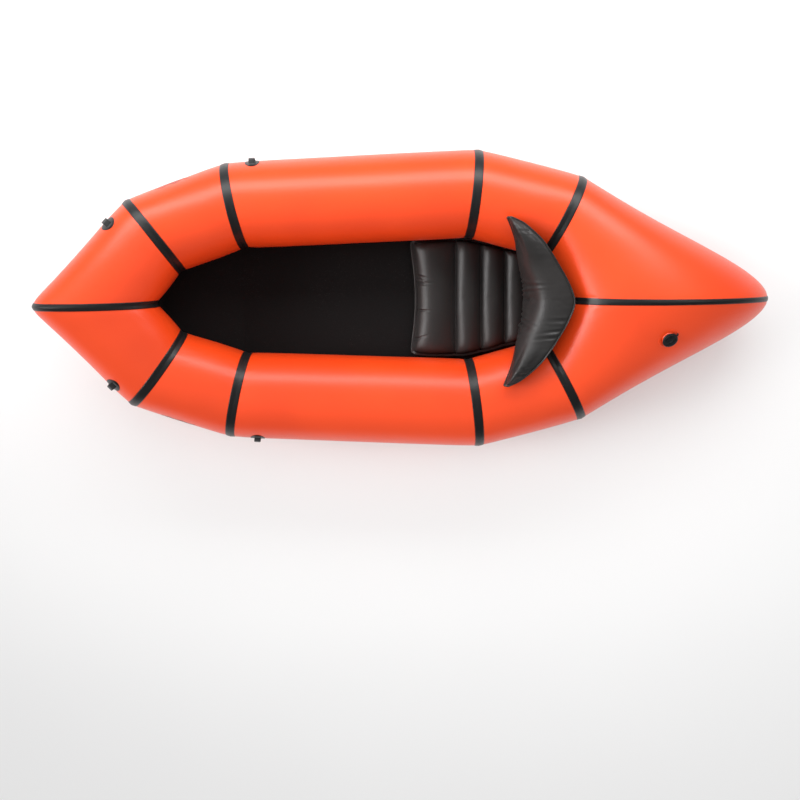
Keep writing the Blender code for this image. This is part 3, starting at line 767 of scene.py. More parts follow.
@dataclass
class HullForm:
    """The inflated shape of the tube ring, as points on each panel's skin.

    A place on a panel is a share of its length, outwards from the middle of the boat, and a turn in radians
    round the tube, measured from the outer side over the top.
    """

    length: float = 2.40
    tape_room: float = 0.0017
    under: float = 0.0034
    bow: Oval = Oval(0.1806, 0.1302, 0.3000, 0.0245, 11)
    stern: Oval = Oval(0.3346, 0.1885, 0.2060, -0.0270, 3)
    bends: tuple[Bend, ...] = (
        Bend(0.861, 0.222, 0.1405, 0.0610),
        Bend(0.598, 0.326, 0.1443, 0.0),
        Bend(-0.214, 0.3595, 0.1472, 0.0),
        Bend(-0.517, 0.279, 0.1480, 0.0),
    )
    swell: float = 0.0022
    swell_reach: float = 0.045
    tape_half: float = 0.015
    tape_dip: float = 0.0006
    fold_depth: float = 0.00025
    inner_fold_depth: float = 0.0013
    fold_reach: float = 0.028
    slow_wave: float = 0.0006
    corners: int = 28
    sections: list[Callable[[float], Vector]] = field(init=False)
    centres: list[Vector] = field(init=False)

    def __post_init__(self) -> None:
        """Works out the six sections of a half ring and their centres."""
        self.sections = [self.oval(1.0, self.bow)]
        self.sections += [self.mitre(i) for i in range(1, 5)]
        self.sections += [self.oval(-1.0, self.stern)]
        turns = [math.tau * i / self.corners for i in range(self.corners)]
        self.centres = [
            sum((section(turn) for turn in turns), Vector()) / self.corners for section in self.sections
        ]

    def oval(self, end: float, shape: Oval) -> Callable[[float], Vector]:
        """The section at the bow, at end 1, or the stern, at end -1.

        Args:
            end: 1 at the bow, -1 at the stern.
            shape: The oval.

        Returns:
            Gives the section's point at a turn.
        """
        middle = end * (self.length / 2 - self.tape_room - shape.half_length)
        return lambda turn: Vector(
            (
                middle + end * shape.half_length * math.cos(turn),
                0.0,
                shape.height + shape.tip_rise * math.cos(turn) + shape.half_height * math.sin(turn),
            )
        )

    def mitre(self, index: int) -> Callable[[float], Vector]:
        """The section on the plane that halves the bend at a joint.

        Args:
            index: Which joint, counted from the bow.

        Returns:
            Gives the section's point at a turn.
        """
        line = [Vector((self.length / 2 - self.bow.half_length, 0.0, self.bow.height))]
        line += [Vector((bend.x, bend.y, self.under + bend.rise + bend.radius)) for bend in self.bends]
        line += [Vector((self.stern.half_length - self.length / 2, 0.0, self.stern.height))]
        before = (line[index] - line[index - 1]).normalized()
        after = (line[index + 1] - line[index]).normalized()
        long_axis = (after - before).normalized()
        long_axis *= 1.0 if long_axis.y > 0.0 else -1.0
        short_axis = (before + after).normalized().cross(long_axis)
        short_axis *= 1.0 if short_axis.z > 0.0 else -1.0
        radius = self.bends[index - 1].radius
        stretch = radius / math.cos(before.angle(after) / 2)
        level = math.atan2(-long_axis.z, short_axis.z)
        centre = line[index]
        return lambda turn: (
            centre
            + stretch * math.cos(turn + level) * long_axis
            + radius * math.sin(turn + level) * short_axis
        )

    def run(self, panel: Panel, turn: float) -> float:
        """Length of a panel along one line."""
        start, end = panel.ends
        return (self.sections[end](turn) - self.sections[start](turn)).length

    def base(self, panel: Panel, share: float, turn: float) -> Vector:
        """A point of the taut skin, without any swell.

        Args:
            panel: The panel.
            share: Share of the panel's length.
            turn: Angle round the tube.

        Returns:
            The port-side point.
        """
        start, end = panel.ends
        first, last = self.sections[start](turn), self.sections[end](turn)
        point = first.lerp(last, share)
        if panel in (Panel.BOW, Panel.STERN):
            power = self.bow.rounding if panel is Panel.BOW else self.stern.rounding
            fade = 1.0 - share
            point.x += (last.x - first.x) * max(math.cos(turn), 0.0) * max(share, 0.0) ** power * fade
        return point

    def seam_distance(self, panel: Panel, share: float, turn: float) -> float:
        """How far a point is from the nearest mitre, along the tube."""
        return min(share, 1.0 - share) * self.run(panel, turn)

    def skin(self, panel: Panel, share: float, turn: float, lift: float = 0.0) -> Vector:
        """A point of the inflated skin, or above it.

        Args:
            panel: The panel.
            share: Share of its length.
            turn: Angle round the tube.
            lift: Height above the skin.

        Returns:
            The port-side point.
        """
        start, end = panel.ends
        point = self.base(panel, share, turn)
        middle = self.centres[start].lerp(self.centres[end], share)
        outward = (point - middle).normalized()
        distance = self.seam_distance(panel, share, turn)
        past = max(0.0, distance - self.tape_half)
        swell = self.swell * (1.0 - math.exp(-past / self.swell_reach))
        swell -= self.tape_dip * math.exp(-((distance - self.tape_half - 0.004) / 0.005) ** 2)
        inside = max(0.0, -math.cos(turn)) ** 1.5
        near = start if share < 0.5 else end
        depth = (self.fold_depth + self.inner_fold_depth * inside) * math.exp(-past / self.fold_reach)
        folds = ring_ripple(near + 1.3, turn, 13.8, past / 0.05) * (depth * smooth_step(0.0, 0.02, distance))
        slow = ring_ripple(9.1 + panel.value, turn, 1.3, share * 3.0) * self.slow_wave
        slow *= smooth_step(0.01, 0.08, distance)
        low = smooth_step(0.012, 0.0, point.z)
        return point + outward * ((swell + folds + slow) * (1.0 - low) + lift)

    def frame_at(self, panel: Panel, share: float, turn: float) -> tuple[Vector, Vector, Vector, Vector]:
        """A port-side place on the taut skin, with its directions along the tube, round it and outwards.

        Args:
            panel: The panel.
            share: Share of the panel's length.
            turn: Angle round the tube.

        Returns:
            The place and the three directions.
        """
        step = 0.001
        here = self.base(panel, share, turn)
        along = (self.base(panel, share + step, turn) - self.base(panel, share - step, turn)).normalized()
        around = self.base(panel, share, turn + step) - self.base(panel, share, turn - step)
        around = (around - along * around.dot(along)).normalized()
        out = along.cross(around)
        if out.y < 0.0:
            out, along = -out, -along
        return here, along, around, out


@dataclass(frozen=True)
class Spot:
    """A place on the hull that small pieces are fixed to."""

    panel: Panel
    share: float
    degrees: float

    def on_skin(self, form: HullForm, along: float, around: float, lift: float) -> Vector:
        """A port-side point near the place.

        Args:
            form: The hull's form.
            along: Metres along the tube.
            around: Metres round the tube, upwards from its outer side.
            lift: Metres above the skin.

        Returns:
            The point.
        """
        turn = math.radians(self.degrees)
        start, _ = self.panel.ends
        radius = (form.sections[start](0.0) - form.centres[start]).length
        _, direction, _, out = form.frame_at(self.panel, self.share, turn)
        beyond, before = (form.base(self.panel, self.share + step, turn) for step in (0.01, -0.01))
        towards = 1.0 if (beyond - before).dot(direction) > 0.0 else -1.0
        share = self.share + towards * along / form.run(self.panel, turn)
        return form.skin(self.panel, share, turn + around / radius) + out * lift


# ---------------------------------------------------------------- the hull
@dataclass
class HullPanels:
    """The ten tube panels: seamless cylinders of coated fabric between the mitres."""

    form: HullForm
    valve: Matrix
    valve_hole: float = 0.0197
    around: int = 120
    row: float = 0.011
    tip_crowding: float = 1.5
    end_gap: float = 0.0005
    middle_gap: float = 0.0002
    girth: float = 0.91
    wall: Wall = Wall(0.0008)

    def build(self) -> list[bpy.types.Object]:
        """Makes every panel on both sides."""
        return [self.panel(panel, side) for side in Side for panel in Panel]

    def panel(self, panel: Panel, side: Side) -> bpy.types.Object:
        """Makes one panel.

        Args:
            panel: Which panel.
            side: On which side.

        Returns:
            The finished piece.
        """
        length = self.form.run(panel, math.pi / 2)
        rows = max(16, round(length / self.row))
        at_tip = panel in (Panel.BOW, Panel.STERN)
        crowding = self.tip_crowding if at_tip else 1.0

        def share_at(along: float) -> float:
            """Share of the panel's length at a row, with the rows closer together at a tip."""
            share = 1.0 - (1.0 - along) ** crowding
            return min(max(share, self.end_gap), 1.0 - self.end_gap)

        def place(across: float, along: float) -> Vector:
            """A point of the skin, kept off the centre plane at a tip."""
            point = self.form.skin(panel, share_at(along), across * math.tau)
            point.y = max(point.y, self.middle_gap) if at_tip else point.y
            return side.of(point)

        def seam(across: float, along: float) -> float:
            """Distance to the nearest mitre."""
            return self.form.seam_distance(panel, share_at(along), across * math.tau)

        bm = mapped_grid(self.around, rows, place, (self.girth, length), marks={"seam": seam})
        start, end = panel.ends
        first, last = side.of(self.form.centres[start]), side.of(self.form.centres[end])
        axis = last - first

        def middle(point: Vector) -> Vector:
            """The nearest point of the tube's middle line."""
            return first + axis * ((point - first).dot(axis) / axis.length_squared)

        face_out(bm, middle)
        if panel is Panel.STERN and side is Side.PORT:
            self.open_for_valve(bm)
        name = f"{panel.word}_panel_{side.word}"
        return make_piece(f"hull_{panel.word}_{side.word}", bm, HULL, stands_for=[name], wall=self.wall)

    def open_for_valve(self, bm: bmesh.types.BMesh) -> None:
        """Cuts the round hole that the air valve's neck passes through.

        Args:
            bm: The panel's mesh.
        """
        back = self.valve.inverted()
        near = [edge for edge in bm.edges if (back @ edge.verts[0].co).length < 2.2 * self.valve_hole]
        bmesh.ops.subdivide_edges(bm, edges=near, cuts=2, use_grid_fill=True)
        inside = [face for face in bm.faces if (back @ face.calc_center_median()).length < self.valve_hole]
        bmesh.ops.delete(bm, geom=inside, context="FACES")
        rim = {vert for edge in bm.edges if edge.is_boundary for vert in edge.verts}
        for vert in rim:
            place = back @ vert.co
            if place.length < 2.0 * self.valve_hole:
                place.xy = place.xy.normalized() * self.valve_hole
                vert.co = self.valve @ place
        bmesh.ops.triangulate(bm, faces=[face for face in bm.faces if len(face.verts) > 4])


@dataclass
class SeamTapes:
    """Strips of black tape welded over the mitres, soft where they bend over the seam."""

    form: HullForm
    half_width: float = 0.015
    thickness: float = 0.0008
    clearance: float = 0.0002
    wander: float = 0.0003
    turn_over: float = 0.0035
    girth: float = math.tau * 0.146
    across: int = 14
    around: int = 160

    def build(self) -> list[bpy.types.Object]:
        """Makes the eight side tapes and the two on the centre plane.

        Returns:
            The ten tapes.
        """
        made = []
        for index, (first, second) in enumerate(zip(list(Panel), list(Panel)[1:]), start=1):
            for side in Side:
                word = f"{first.word}_{second.word}_tape_{side.word}"
                made.append(self.tape(word, index, ((first, side), (second, side))))
        ends = ((Panel.BOW, 0), (Panel.STERN, 5))
        for panel, index in ends:
            sides = ((panel, Side.PORT), (panel, Side.STARBOARD))
            made.append(self.tape(f"{panel.word}_centre_tape", index, sides))
        return made

    def tape(
        self, word: str, index: int, edges: tuple[tuple[Panel, Side], tuple[Panel, Side]]
    ) -> bpy.types.Object:
        """Makes the tape over one mitre.

        Args:
            word: The name of the solid it stands for.
            index: The mitre's section.
            edges: The panel and the side on either hand.

        Returns:
            The finished piece.
        """
        form = self.form

        def over(panel: Panel, side: Side, distance: float, turn: float, lift: float) -> Vector:
            """A point over one of the two panels, at a distance from the mitre."""
            share = distance / form.run(panel, turn)
            share = share if panel.ends[0] == index else 1.0 - share
            return side.of(form.skin(panel, share, turn, lift))

        def place(across: float, along: float) -> Vector:
            """A point of the tape, which turns softly from one panel to the other.

            Args:
                across: Share across the cloth.
                along: Share along the cloth.

            Returns:
                The point.
            """
            turn = along * math.tau
            wander = ring_ripple(2.1 + index, turn, 3.0) * self.wander
            distance = (2.0 * across - 1.0) * self.half_width + wander
            edge = smooth_step(1.0, 0.9, abs(2.0 * across - 1.0))
            lift = self.clearance + self.thickness * (0.55 + 0.45 * edge)
            first = over(*edges[0], abs(distance), turn, lift)
            second = over(*edges[1], abs(distance), turn, lift)
            return first.lerp(second, smooth_step(-self.turn_over, self.turn_over, distance))

        cloth = (2.0 * self.half_width, self.girth)
        bm = mapped_grid(self.across, self.around, place, cloth, marks={"seam": lambda across, along: 1.0})
        face_out(bm, lambda point: self.heart(index, edges, point))
        return make_piece("cover_" + word, bm, TAPE, stands_for=[word], wall=Wall(self.thickness))

    def heart(self, index: int, edges: tuple, point: Vector) -> Vector:
        """The middle of the tube beside a point of the tape.

        Args:
            index: The joint's section.
            edges: The panel and the side on either hand.
            point: A point of the tape.

        Returns:
            The point on the tube's middle line.
        """
        panel, side = edges[0]
        start, end = panel.ends
        first, last = side.of(self.form.centres[index]), side.of(self.form.centres[start + end - index])
        axis = last - first
        if index in (0, 5):
            return first
        return first + axis * ((point - first).dot(axis) / axis.length_squared)


@dataclass
class PrintedWaves:
    """Three plain wave lines printed on the outside of each shoulder panel."""

    form: HullForm
    spot: Spot = Spot(Panel.SHOULDER, 0.47, 19.0)
    lines: tuple[tuple[float, float], ...] = ((0.118, 0.020), (0.090, 0.0), (0.062, -0.020))
    swing: float = 0.0058
    wave: float = 0.046
    ink: float = 0.0062
    lift: float = 0.0005

    def build(self) -> list[bpy.types.Object]:
        """Makes the marks on both sides."""
        return [self.mark(side) for side in Side]

    def mark(self, side: Side) -> bpy.types.Object:
        """Makes the three lines of one side as a single thin print.

        Args:
            side: On which side.

        Returns:
            The print.
        """
        bm = bmesh.new()
        for width, height in self.lines:

            def place(across: float, along: float, width: float = width, height: float = height) -> Vector:
                """A point of one line, which tapers to both ends.

                Args:
                    across: Share across the cloth.
                    along: Share along the cloth.
                    width: The line's length.
                    height: Its height over the middle line.

                Returns:
                    The point.
                """
                reach = (along - 0.5) * width
                taper = (1.0 - abs(2.0 * along - 1.0) ** 3) ** 0.5
                wave = self.swing * math.sin(reach * math.tau / self.wave)
                around = height + wave + (across - 0.5) * self.ink * taper
                return side.of(self.spot.on_skin(self.form, reach, around, self.lift))

            mapped_grid(6, 90, place, (self.ink, width), bm=bm, marks={"seam": lambda across, along: 1.0})
        out = self.form.frame_at(self.spot.panel, self.spot.share, math.radians(self.spot.degrees))[3]
        face_out(bm, lambda point: point - side.of(out))
        return make_piece(f"wave_print_{side.word}", bm, TAPE, wall=Wall(0.0003))


# ---------------------------------------------------------------- the floor
@dataclass
class FloorSheet:
    """One sheet of coated fabric, stretched between the undersides of the tubes."""

    form: HullForm
    line: Table = (
        (-0.920, 0.000, 0.0138),
        (-0.860, 0.041, 0.0085),
        (-0.526, 0.276, 0.0012),
        (-0.2145, 0.359, 0.0012),
        (0.612, 0.324, 0.0012),
        (0.893, 0.199, 0.0670),
        (0.988, 0.000, 0.1640),
    )
    overlap: float = 0.010
    thickness: float = 0.0007
    cut_width: float = 0.73
    lowest: float = 0.0009
    weld_rise: float = 0.0010
    slow_wave: float = 0.0003
    pucker: float = 0.0004

    def width_at(self, x: float) -> tuple[float, float]:
        """Half the sheet's width and its height at a station.

        Args:
            x: Metres ahead of the middle.

        Returns:
            The half width and the height.
        """
        for low, high in zip(self.line, self.line[1:]):
            if x <= high[0]:
                share = (x - low[0]) / (high[0] - low[0])
                return low[1] + (high[1] - low[1]) * share, low[2] + (high[2] - low[2]) * share
        return self.line[-1][1], self.line[-1][2]

    def build(self, neighbours: Sequence[bpy.types.Object]) -> bpy.types.Object:
        """Makes the sheet.

        Args:
            neighbours: The hull pieces that it is welded to; not used.

        Returns:
            The finished piece.
        """
        first, last = self.line[0][0], self.line[-1][0]
        length = last - first

        def place(across: float, along: float) -> Vector:
            """A point of the sheet, puckered beside the welds.

            Args:
                across: Share across the cloth.
                along: Share along the cloth.

            Returns:
                The point.
            """
            x = first + along * length
            half, height = self.width_at(x)
            over = 2.0 * across - 1.0
            y = over * (half + self.overlap * smooth_step(0.0, 0.05, half))
            inner = min(abs(y) / max(half, 1e-6), 1.0)
            rise = self.weld_rise * smooth_step(0.72, 1.0, inner)
            wave = ripple(5.3, x * 3.1, y * 6.0) * self.slow_wave
            puckers = ripple(8.8, x / 0.018, over * 2.0) * self.pucker * smooth_step(0.75, 0.98, inner)
            z = height + rise + (wave + puckers) * smooth_step(0.0, 0.1, half)
            return Vector((x, y, max(z, self.lowest)))

        def seam(across: float, along: float) -> float:
            """Distance to the weld along the edge."""
            half, _ = self.width_at(first + along * length)
            return half * (1.0 - abs(2.0 * across - 1.0))

        bm = mapped_grid(72, 190, place, (self.cut_width, length), marks={"seam": seam})
        area = sum(face.calc_area() for face in bm.faces)
        face_out(bm, lambda point: point - UP)
        stands_for = ["floor_bow", "floor_front", "floor_centre", "floor_stern"]
        piece = make_piece("floor_sheet", bm, FLOOR, stands_for=stands_for, wall=Wall(self.thickness))
        width = 2.0 * (max(row[1] for row in self.line) + self.overlap)
        reach = sum(math.dist(low[::2], high[::2]) for low, high in zip(self.line, self.line[1:]))
        return piece


# ---------------------------------------------------------------- cushions
@dataclass(frozen=True)
class Puff:
    """How a cushion is blown up: air pressure on its cloth, with its welds held."""

    most: float
    pressure: float = 4.0
    steps: int = 20

    def blow(self, piece: bpy.types.Object, held: Callable[[Vector], float]) -> None:
        """Runs the cloth and keeps its result in the mesh.

        Args:
            piece: The cushion, with no modifiers.
            held: How firmly a point is held, from 0 to 1.
        """
        mesh = piece.data
        rest = [vert.co.copy() for vert in mesh.vertices]
        group = piece.vertex_groups.new(name="held")
        for vert in mesh.vertices:
            group.add([vert.index], held(vert.co), "REPLACE")
        air = piece.modifiers.new("air", "CLOTH")
        cloth = air.settings
        cloth.quality = 5
        cloth.mass = 0.2
        cloth.tension_stiffness = cloth.compression_stiffness = 18.0
        cloth.shear_stiffness = 6.0
        cloth.bending_stiffness = 0.35
        cloth.use_pressure = True
        cloth.uniform_pressure_force = self.pressure
        cloth.vertex_group_mass = group.name
        cloth.effector_weights.gravity = 0.0
        air.collision_settings.use_collision = False
        air.collision_settings.use_self_collision = False
        air.point_cache.frame_start, air.point_cache.frame_end = 1, self.steps
        for step in range(1, self.steps + 1):
            bpy.context.scene.frame_set(step)
        blown = piece.evaluated_get(bpy.context.evaluated_depsgraph_get())
        moved = [vert.co.copy() for vert in blown.data.vertices]
        piece.modifiers.remove(air)
        piece.vertex_groups.remove(group)
        bpy.context.scene.frame_set(1)
        for vert, start, end in zip(mesh.vertices, rest, moved):
            way = end - start
            vert.co = start + way * min(1.0, self.most / max(way.length, 1e-9))
        mesh.update()


def subdivided(piece: bpy.types.Object, levels: int) -> None:
    """Subdivides a piece's mesh smoothly and keeps the result.

    Args:
        piece: The piece.
        levels: How many times.
    """
    finer = piece.modifiers.new("finer", "SUBSURF")
    finer.levels = finer.render_levels = levels
    graph = bpy.context.evaluated_depsgraph_get()
    mesh = bpy.data.meshes.new_from_object(
        piece.evaluated_get(graph), preserve_all_data_layers=True, depsgraph=graph
    )
    old = piece.data
    piece.modifiers.clear()
    piece.data = mesh
    bpy.data.meshes.remove(old)
    mesh.name = piece.name


@dataclass(frozen=True)
class Crease:
    """A gather that runs in from an edge: where it starts, how wide, deep and long it is, and its slant."""

    at: float
    width: float
    depth: float
    reach: float
    slant: float = 0.0


def pressed(creases: Sequence[Crease], along: float, inwards: float) -> float:
    """How far the gathers press a surface in.

    Args:
        creases: The gathers.
        along: Place along the edge, in metres.
        inwards: Distance in from the edge, in metres.

    Returns:
        The depth, with a small rib beside each gather.
    """
    depth = 0.0
    for crease in creases:
        off = (along - crease.at - crease.slant * inwards) / crease.width
        if abs(off) < 4.0:
            fade = math.exp(-((inwards / crease.reach) ** 1.5))
            rib = 0.45 * math.exp(-((abs(off) - 1.7) ** 2) / 0.5)
            depth += crease.depth * fade * (math.exp(-off * off) - rib)
    return depth


@dataclass
class Cushion:
    """A welded air cushion: an upper and a lower cloth that meet in a weld line with a narrow lip."""

    name: str
    body: str
    stands_for: str
    columns: int
    rows: int
    cloth: tuple[float, float]
    lip: float
    fill: float
    puff: Puff

    def plan(self, across: float, along: float) -> tuple[float, float]:
        """Takes a pair of shares to -1..1 with the corners of the outline rounded."""
        s, t = 2.0 * across - 1.0, 2.0 * along - 1.0
        return s * math.sqrt(1.0 - 0.04 * t**10), t * math.sqrt(1.0 - 0.03 * s**10)

    def upper(self, s: float, t: float) -> Vector:
        """A point of the upper cloth."""
        raise NotImplementedError

    def lower(self, s: float, t: float) -> Vector:
        """A point of the lower cloth."""
        raise NotImplementedError

    def held(self, point: Vector) -> float:
        """How firmly a point is held while the cushion is blown up."""
        raise NotImplementedError

    def finish_point(self, point: Vector, normal: Vector) -> Vector:
        """Moves a point for the welds, gathers and fittings, after the cushion is blown up."""
        raise NotImplementedError

    def seam(self, s: float, t: float) -> float:
        """Distance to the nearest weld, for the creases in the finish."""
        raise NotImplementedError

    def shell(self) -> bmesh.types.BMesh:
        """The closed form before it is blown up.

        Returns:
            The mesh.
        """
        bm = bmesh.new()
        for face in (self.upper, self.lower):
            mapped_grid(
                self.columns,
                self.rows,
                lambda across, along, face=face: face(*self.plan(across, along)),
                self.cloth,
                bm=bm,
                marks={"seam": lambda across, along: self.seam(*self.plan(across, along))},
            )
        bmesh.ops.remove_doubles(bm, verts=bm.verts, dist=1e-4)
        bm.normal_update()
        bmesh.ops.recalc_face_normals(bm, faces=bm.faces)
        return bm

    def build(self) -> bpy.types.Object:
        """Makes the cushion and its lip.

        Returns:
            The lip, a second piece on the same body.
        """
        piece = make_piece(self.name, self.shell(), CUSHION, self.body, [self.stands_for])
        self.puff.blow(piece, self.held)
        subdivided(piece, 1)
        mesh = piece.data
        normals = [normal.vector.copy() for normal in mesh.vertex_normals]
        for vert, normal in zip(mesh.vertices, normals):
            vert.co = self.finish_point(vert.co.copy(), normal)
        mesh.update()
        mesh.shade_smooth()
        lip = self.weld_lip()
        LOG.info("%s: %d faces after blowing up", piece.name, len(mesh.polygons))
        return lip

    def weld_lip(self) -> bpy.types.Object:
        """The narrow flat lip of welded cloth outside the weld line.

        Returns:
            The lip.
        """

        def border(share: float) -> tuple[float, float]:
            """The pair of shares at a place along the cushion's border."""
            leg, rest = divmod(share * 4.0, 1.0)
            corner = {0: (rest, 0.0), 1: (1.0, rest), 2: (1.0 - rest, 1.0), 3: (0.0, 1.0 - rest)}
            return corner[int(leg) % 4]

        def place(across: float, along: float) -> Vector:
            """A point of the lip, square to the weld line.

            Args:
                across: Share across the cloth.
                along: Share along the cloth.

            Returns:
                The point.
            """
            steps = (0.0, 0.002, -0.002)
            here, ahead, behind = (self.upper(*self.plan(*border((along + step) % 1.0))) for step in steps)
            run = (ahead - behind).normalized()
            outward = run.cross(self.lip_up(here)).normalized()
            if outward.dot(here - self.heart()) < 0.0:
                outward = -outward
            wavy = ring_ripple(4.4, along * math.tau, 9.0) * 0.0008 * across
            return here + outward * (across * self.lip - 0.0015) + self.lip_up(here) * wavy

        bm = mapped_grid(4, 420, place, (self.lip, 1.5), marks={"seam": lambda across, along: 0.004})
        piece = make_piece(self.name + "_weld_lip", bm, CUSHION, self.body)
        solid = piece.modifiers.new("wall", "SOLIDIFY")
        solid.thickness, solid.offset = 0.0012, 0.0
        return piece

    def lip_up(self, point: Vector) -> Vector:
        """The direction across the lip's face."""
        return UP

    def heart(self) -> Vector:
        """A point in the middle of the cushion's outline."""
        raise NotImplementedError


@dataclass
class Seat(Cushion):
    """The seat: five air chambers side by side across the boat, in one outline."""

    name: str = "seat_pad"
    body: str = "hull"
    stands_for: str = "seat_cushion"
    columns: int = 76
    rows: int = 104
    cloth: tuple[float, float] = (0.40, 0.52)
    lip: float = 0.0095
    fill: float = 0.85
    puff: Puff = Puff(most=0.006)
    welds: tuple[float, ...] = (-0.024, -0.161, -0.253, -0.338, -0.420, -0.498)
    heights: tuple[float, ...] = (0.090, 0.085, 0.083, 0.081, 0.0765)
    half_widths: Table = (
        (-0.498, 0.110),
        (-0.420, 0.150),
        (-0.340, 0.174),
        (-0.200, 0.2065),
        (-0.100, 0.2075),
        (-0.024, 0.2010),
    )
    bottom: float = 0.0026
    rim: float = 0.032
    valley: float = 0.050
    weld_depth: float = 0.0030
    front_hollow: float = 0.020
    valve: Vector = Vector((-0.459, 0.0, 0.0802))
    gathers: tuple[Crease, ...] = (
        Crease(-0.083, 0.0035, 0.0052, 0.024, 0.3),
        Crease(-0.074, 0.0026, 0.0040, 0.020, 0.5),
        Crease(-0.054, 0.0032, 0.0056, 0.028),
        Crease(-0.047, 0.0024, 0.0034, 0.018, 0.2),
        Crease(0.044, 0.0030, 0.0060, 0.026),
        Crease(0.051, 0.0024, 0.0032, 0.018, -0.2),
        Crease(0.149, 0.0034, 0.0052, 0.024, -0.4),
        Crease(0.158, 0.0030, 0.0046, 0.020, -0.5),
    )

    def station(self, t: float) -> float:
        """Place along the boat before the front edge is hollowed."""
        return self.welds[-1] + (self.welds[0] - self.welds[-1]) * (t + 1.0) / 2

    def unhollowed(self, point: Vector) -> float:
        """A point's place along the boat with the hollow of the front edge taken out."""
        return point.x - self.front_hollow * smooth_step(-0.160, -0.024, point.x) * (point.y / 0.2) ** 2

    def spot(self, s: float, t: float) -> tuple[float, float]:
        """Plan position of a pair from -1 to 1, rear to front.

        Args:
            s: Place across, from -1 to 1.
            t: Place along, from -1 to 1.

        Returns:
            Metres ahead of the middle and to its side.
        """
        x = self.station(t)
        half = curve_through(self.half_widths, x)[0]
        scallop = 0.0035 * self.chamber(x)[1] ** 0.5 - 0.0035
        front = smooth_step(-0.160, -0.024, x)
        return x + self.front_hollow * front * s * s, s * (half + scallop)

    def chamber(self, x: float) -> tuple[int, float]:
        """The chamber at a station, and how full it is there, from 0 at a weld to 1.

        Args:
            x: Metres ahead of the middle.

        Returns:
            The chamber's number and its fullness.
        """
        for number, (front, rear) in enumerate(zip(self.welds, self.welds[1:])):
            if x >= rear or number == len(self.heights) - 1:
                share = min(max((front - x) / (front - rear), 0.0), 1.0)
                return number, min(1.0, max(0.0, math.sin(math.pi * share**0.86)) ** 0.82)
        return 0, 0.0

    def upper(self, s: float, t: float) -> Vector:
        """A point of the chambered upper cloth.

        Args:
            s: Place across, from -1 to 1.
            t: Place along, from -1 to 1.

        Returns:
            The point.
        """
        x, y = self.spot(s, t)
        station = self.station(t)
        number, full = self.chamber(station)
        ends = smooth_step(0.0, 0.012, self.welds[0] - station)
        ends *= smooth_step(0.0, 0.012, station - self.welds[-1])
        valley = self.rim + (self.valley - self.rim) * ends
        z = self.rim + (valley - self.rim) * rounded(s, 16.0)
        z += (self.heights[number] - valley) * full * rounded(s, 12.0)
        return Vector((x, y, z))

    def lower(self, s: float, t: float) -> Vector:
        """A point of the lower cloth, flat on the floor."""
        x, y = self.spot(s, t)
        full = rounded(s, 14.0) * rounded(t, 18.0)
        return Vector((x, y, self.rim + (self.bottom - self.rim) * full))

    def weld_gap(self, x: float) -> float:
        """Distance to the nearest cross weld."""
        return min(abs(x - weld) for weld in self.welds[1:-1])

    def held(self, point: Vector) -> float:
        """The outline, the cross welds, the floor side and the valve's place are held.

        Args:
            point: A point of the cushion.

        Returns:
            1 where the cloth is held, and 0 where it is free.
        """
        x = self.unhollowed(point)
        half = curve_through(self.half_widths, x)[0]
        inside = self.welds[-1] + 0.004 < x < self.welds[0] - 0.004
        if point.z < 0.012 or half - abs(point.y) < 0.0045 or not inside:
            return 1.0
        if self.weld_gap(x) < 0.0026 or (point - self.valve).length < 0.013:
            return 1.0
        return 0.0

    def finish_point(self, point: Vector, normal: Vector) -> Vector:
        """Presses in the welds and the gathers and levels the cloth under the valve.

        Args:
            point: A point of the cushion.
            normal: The surface's direction there.

        Returns:
            The moved point.
        """
        x = self.unhollowed(point)
        top = smooth_step(0.018, 0.034, point.z)
        gap = self.weld_gap(x)
        side = smooth_step(0.0, 0.025, 0.206 - abs(point.y))
        folds = ripple(1.7, point.y / 0.010, x * 4.0) * 0.0005 * math.exp(-gap / 0.010)
        folds += ripple(6.1, point.y / 0.03, x * 9.0) * 0.0005 * math.exp(-gap / 0.03)
        depth = self.weld_depth * math.exp(-((gap / self.weld_depth) ** 2)) + folds * side
        inwards = self.welds[0] - x
        depth += pressed(self.gathers, point.y, max(inwards, 0.0)) * smooth_step(0.0, 0.006, inwards)
        slow = ripple(2.9, point.x * 9.0, point.y * 8.0) * 0.0009
        moved = point - normal * (depth + slow) * top
        flat = smooth_step(0.022, 0.012, math.dist(point[:2], self.valve[:2])) * top
        moved.z += (self.valve.z + 0.0002 - moved.z) * flat
        return moved

    def seam(self, s: float, t: float) -> float:
        """Distance to the nearest weld."""
        x, y = self.spot(s, t)
        half = curve_through(self.half_widths, x)[0]
        front, rear = self.welds[0] - x + 0.02 * s * s, x - self.welds[-1]
        return max(0.0, min(self.weld_gap(x), half - abs(y), front, rear))

    def heart(self) -> Vector:
        """The middle of the seat's outline."""
        return Vector((-0.25, 0.0, self.rim))


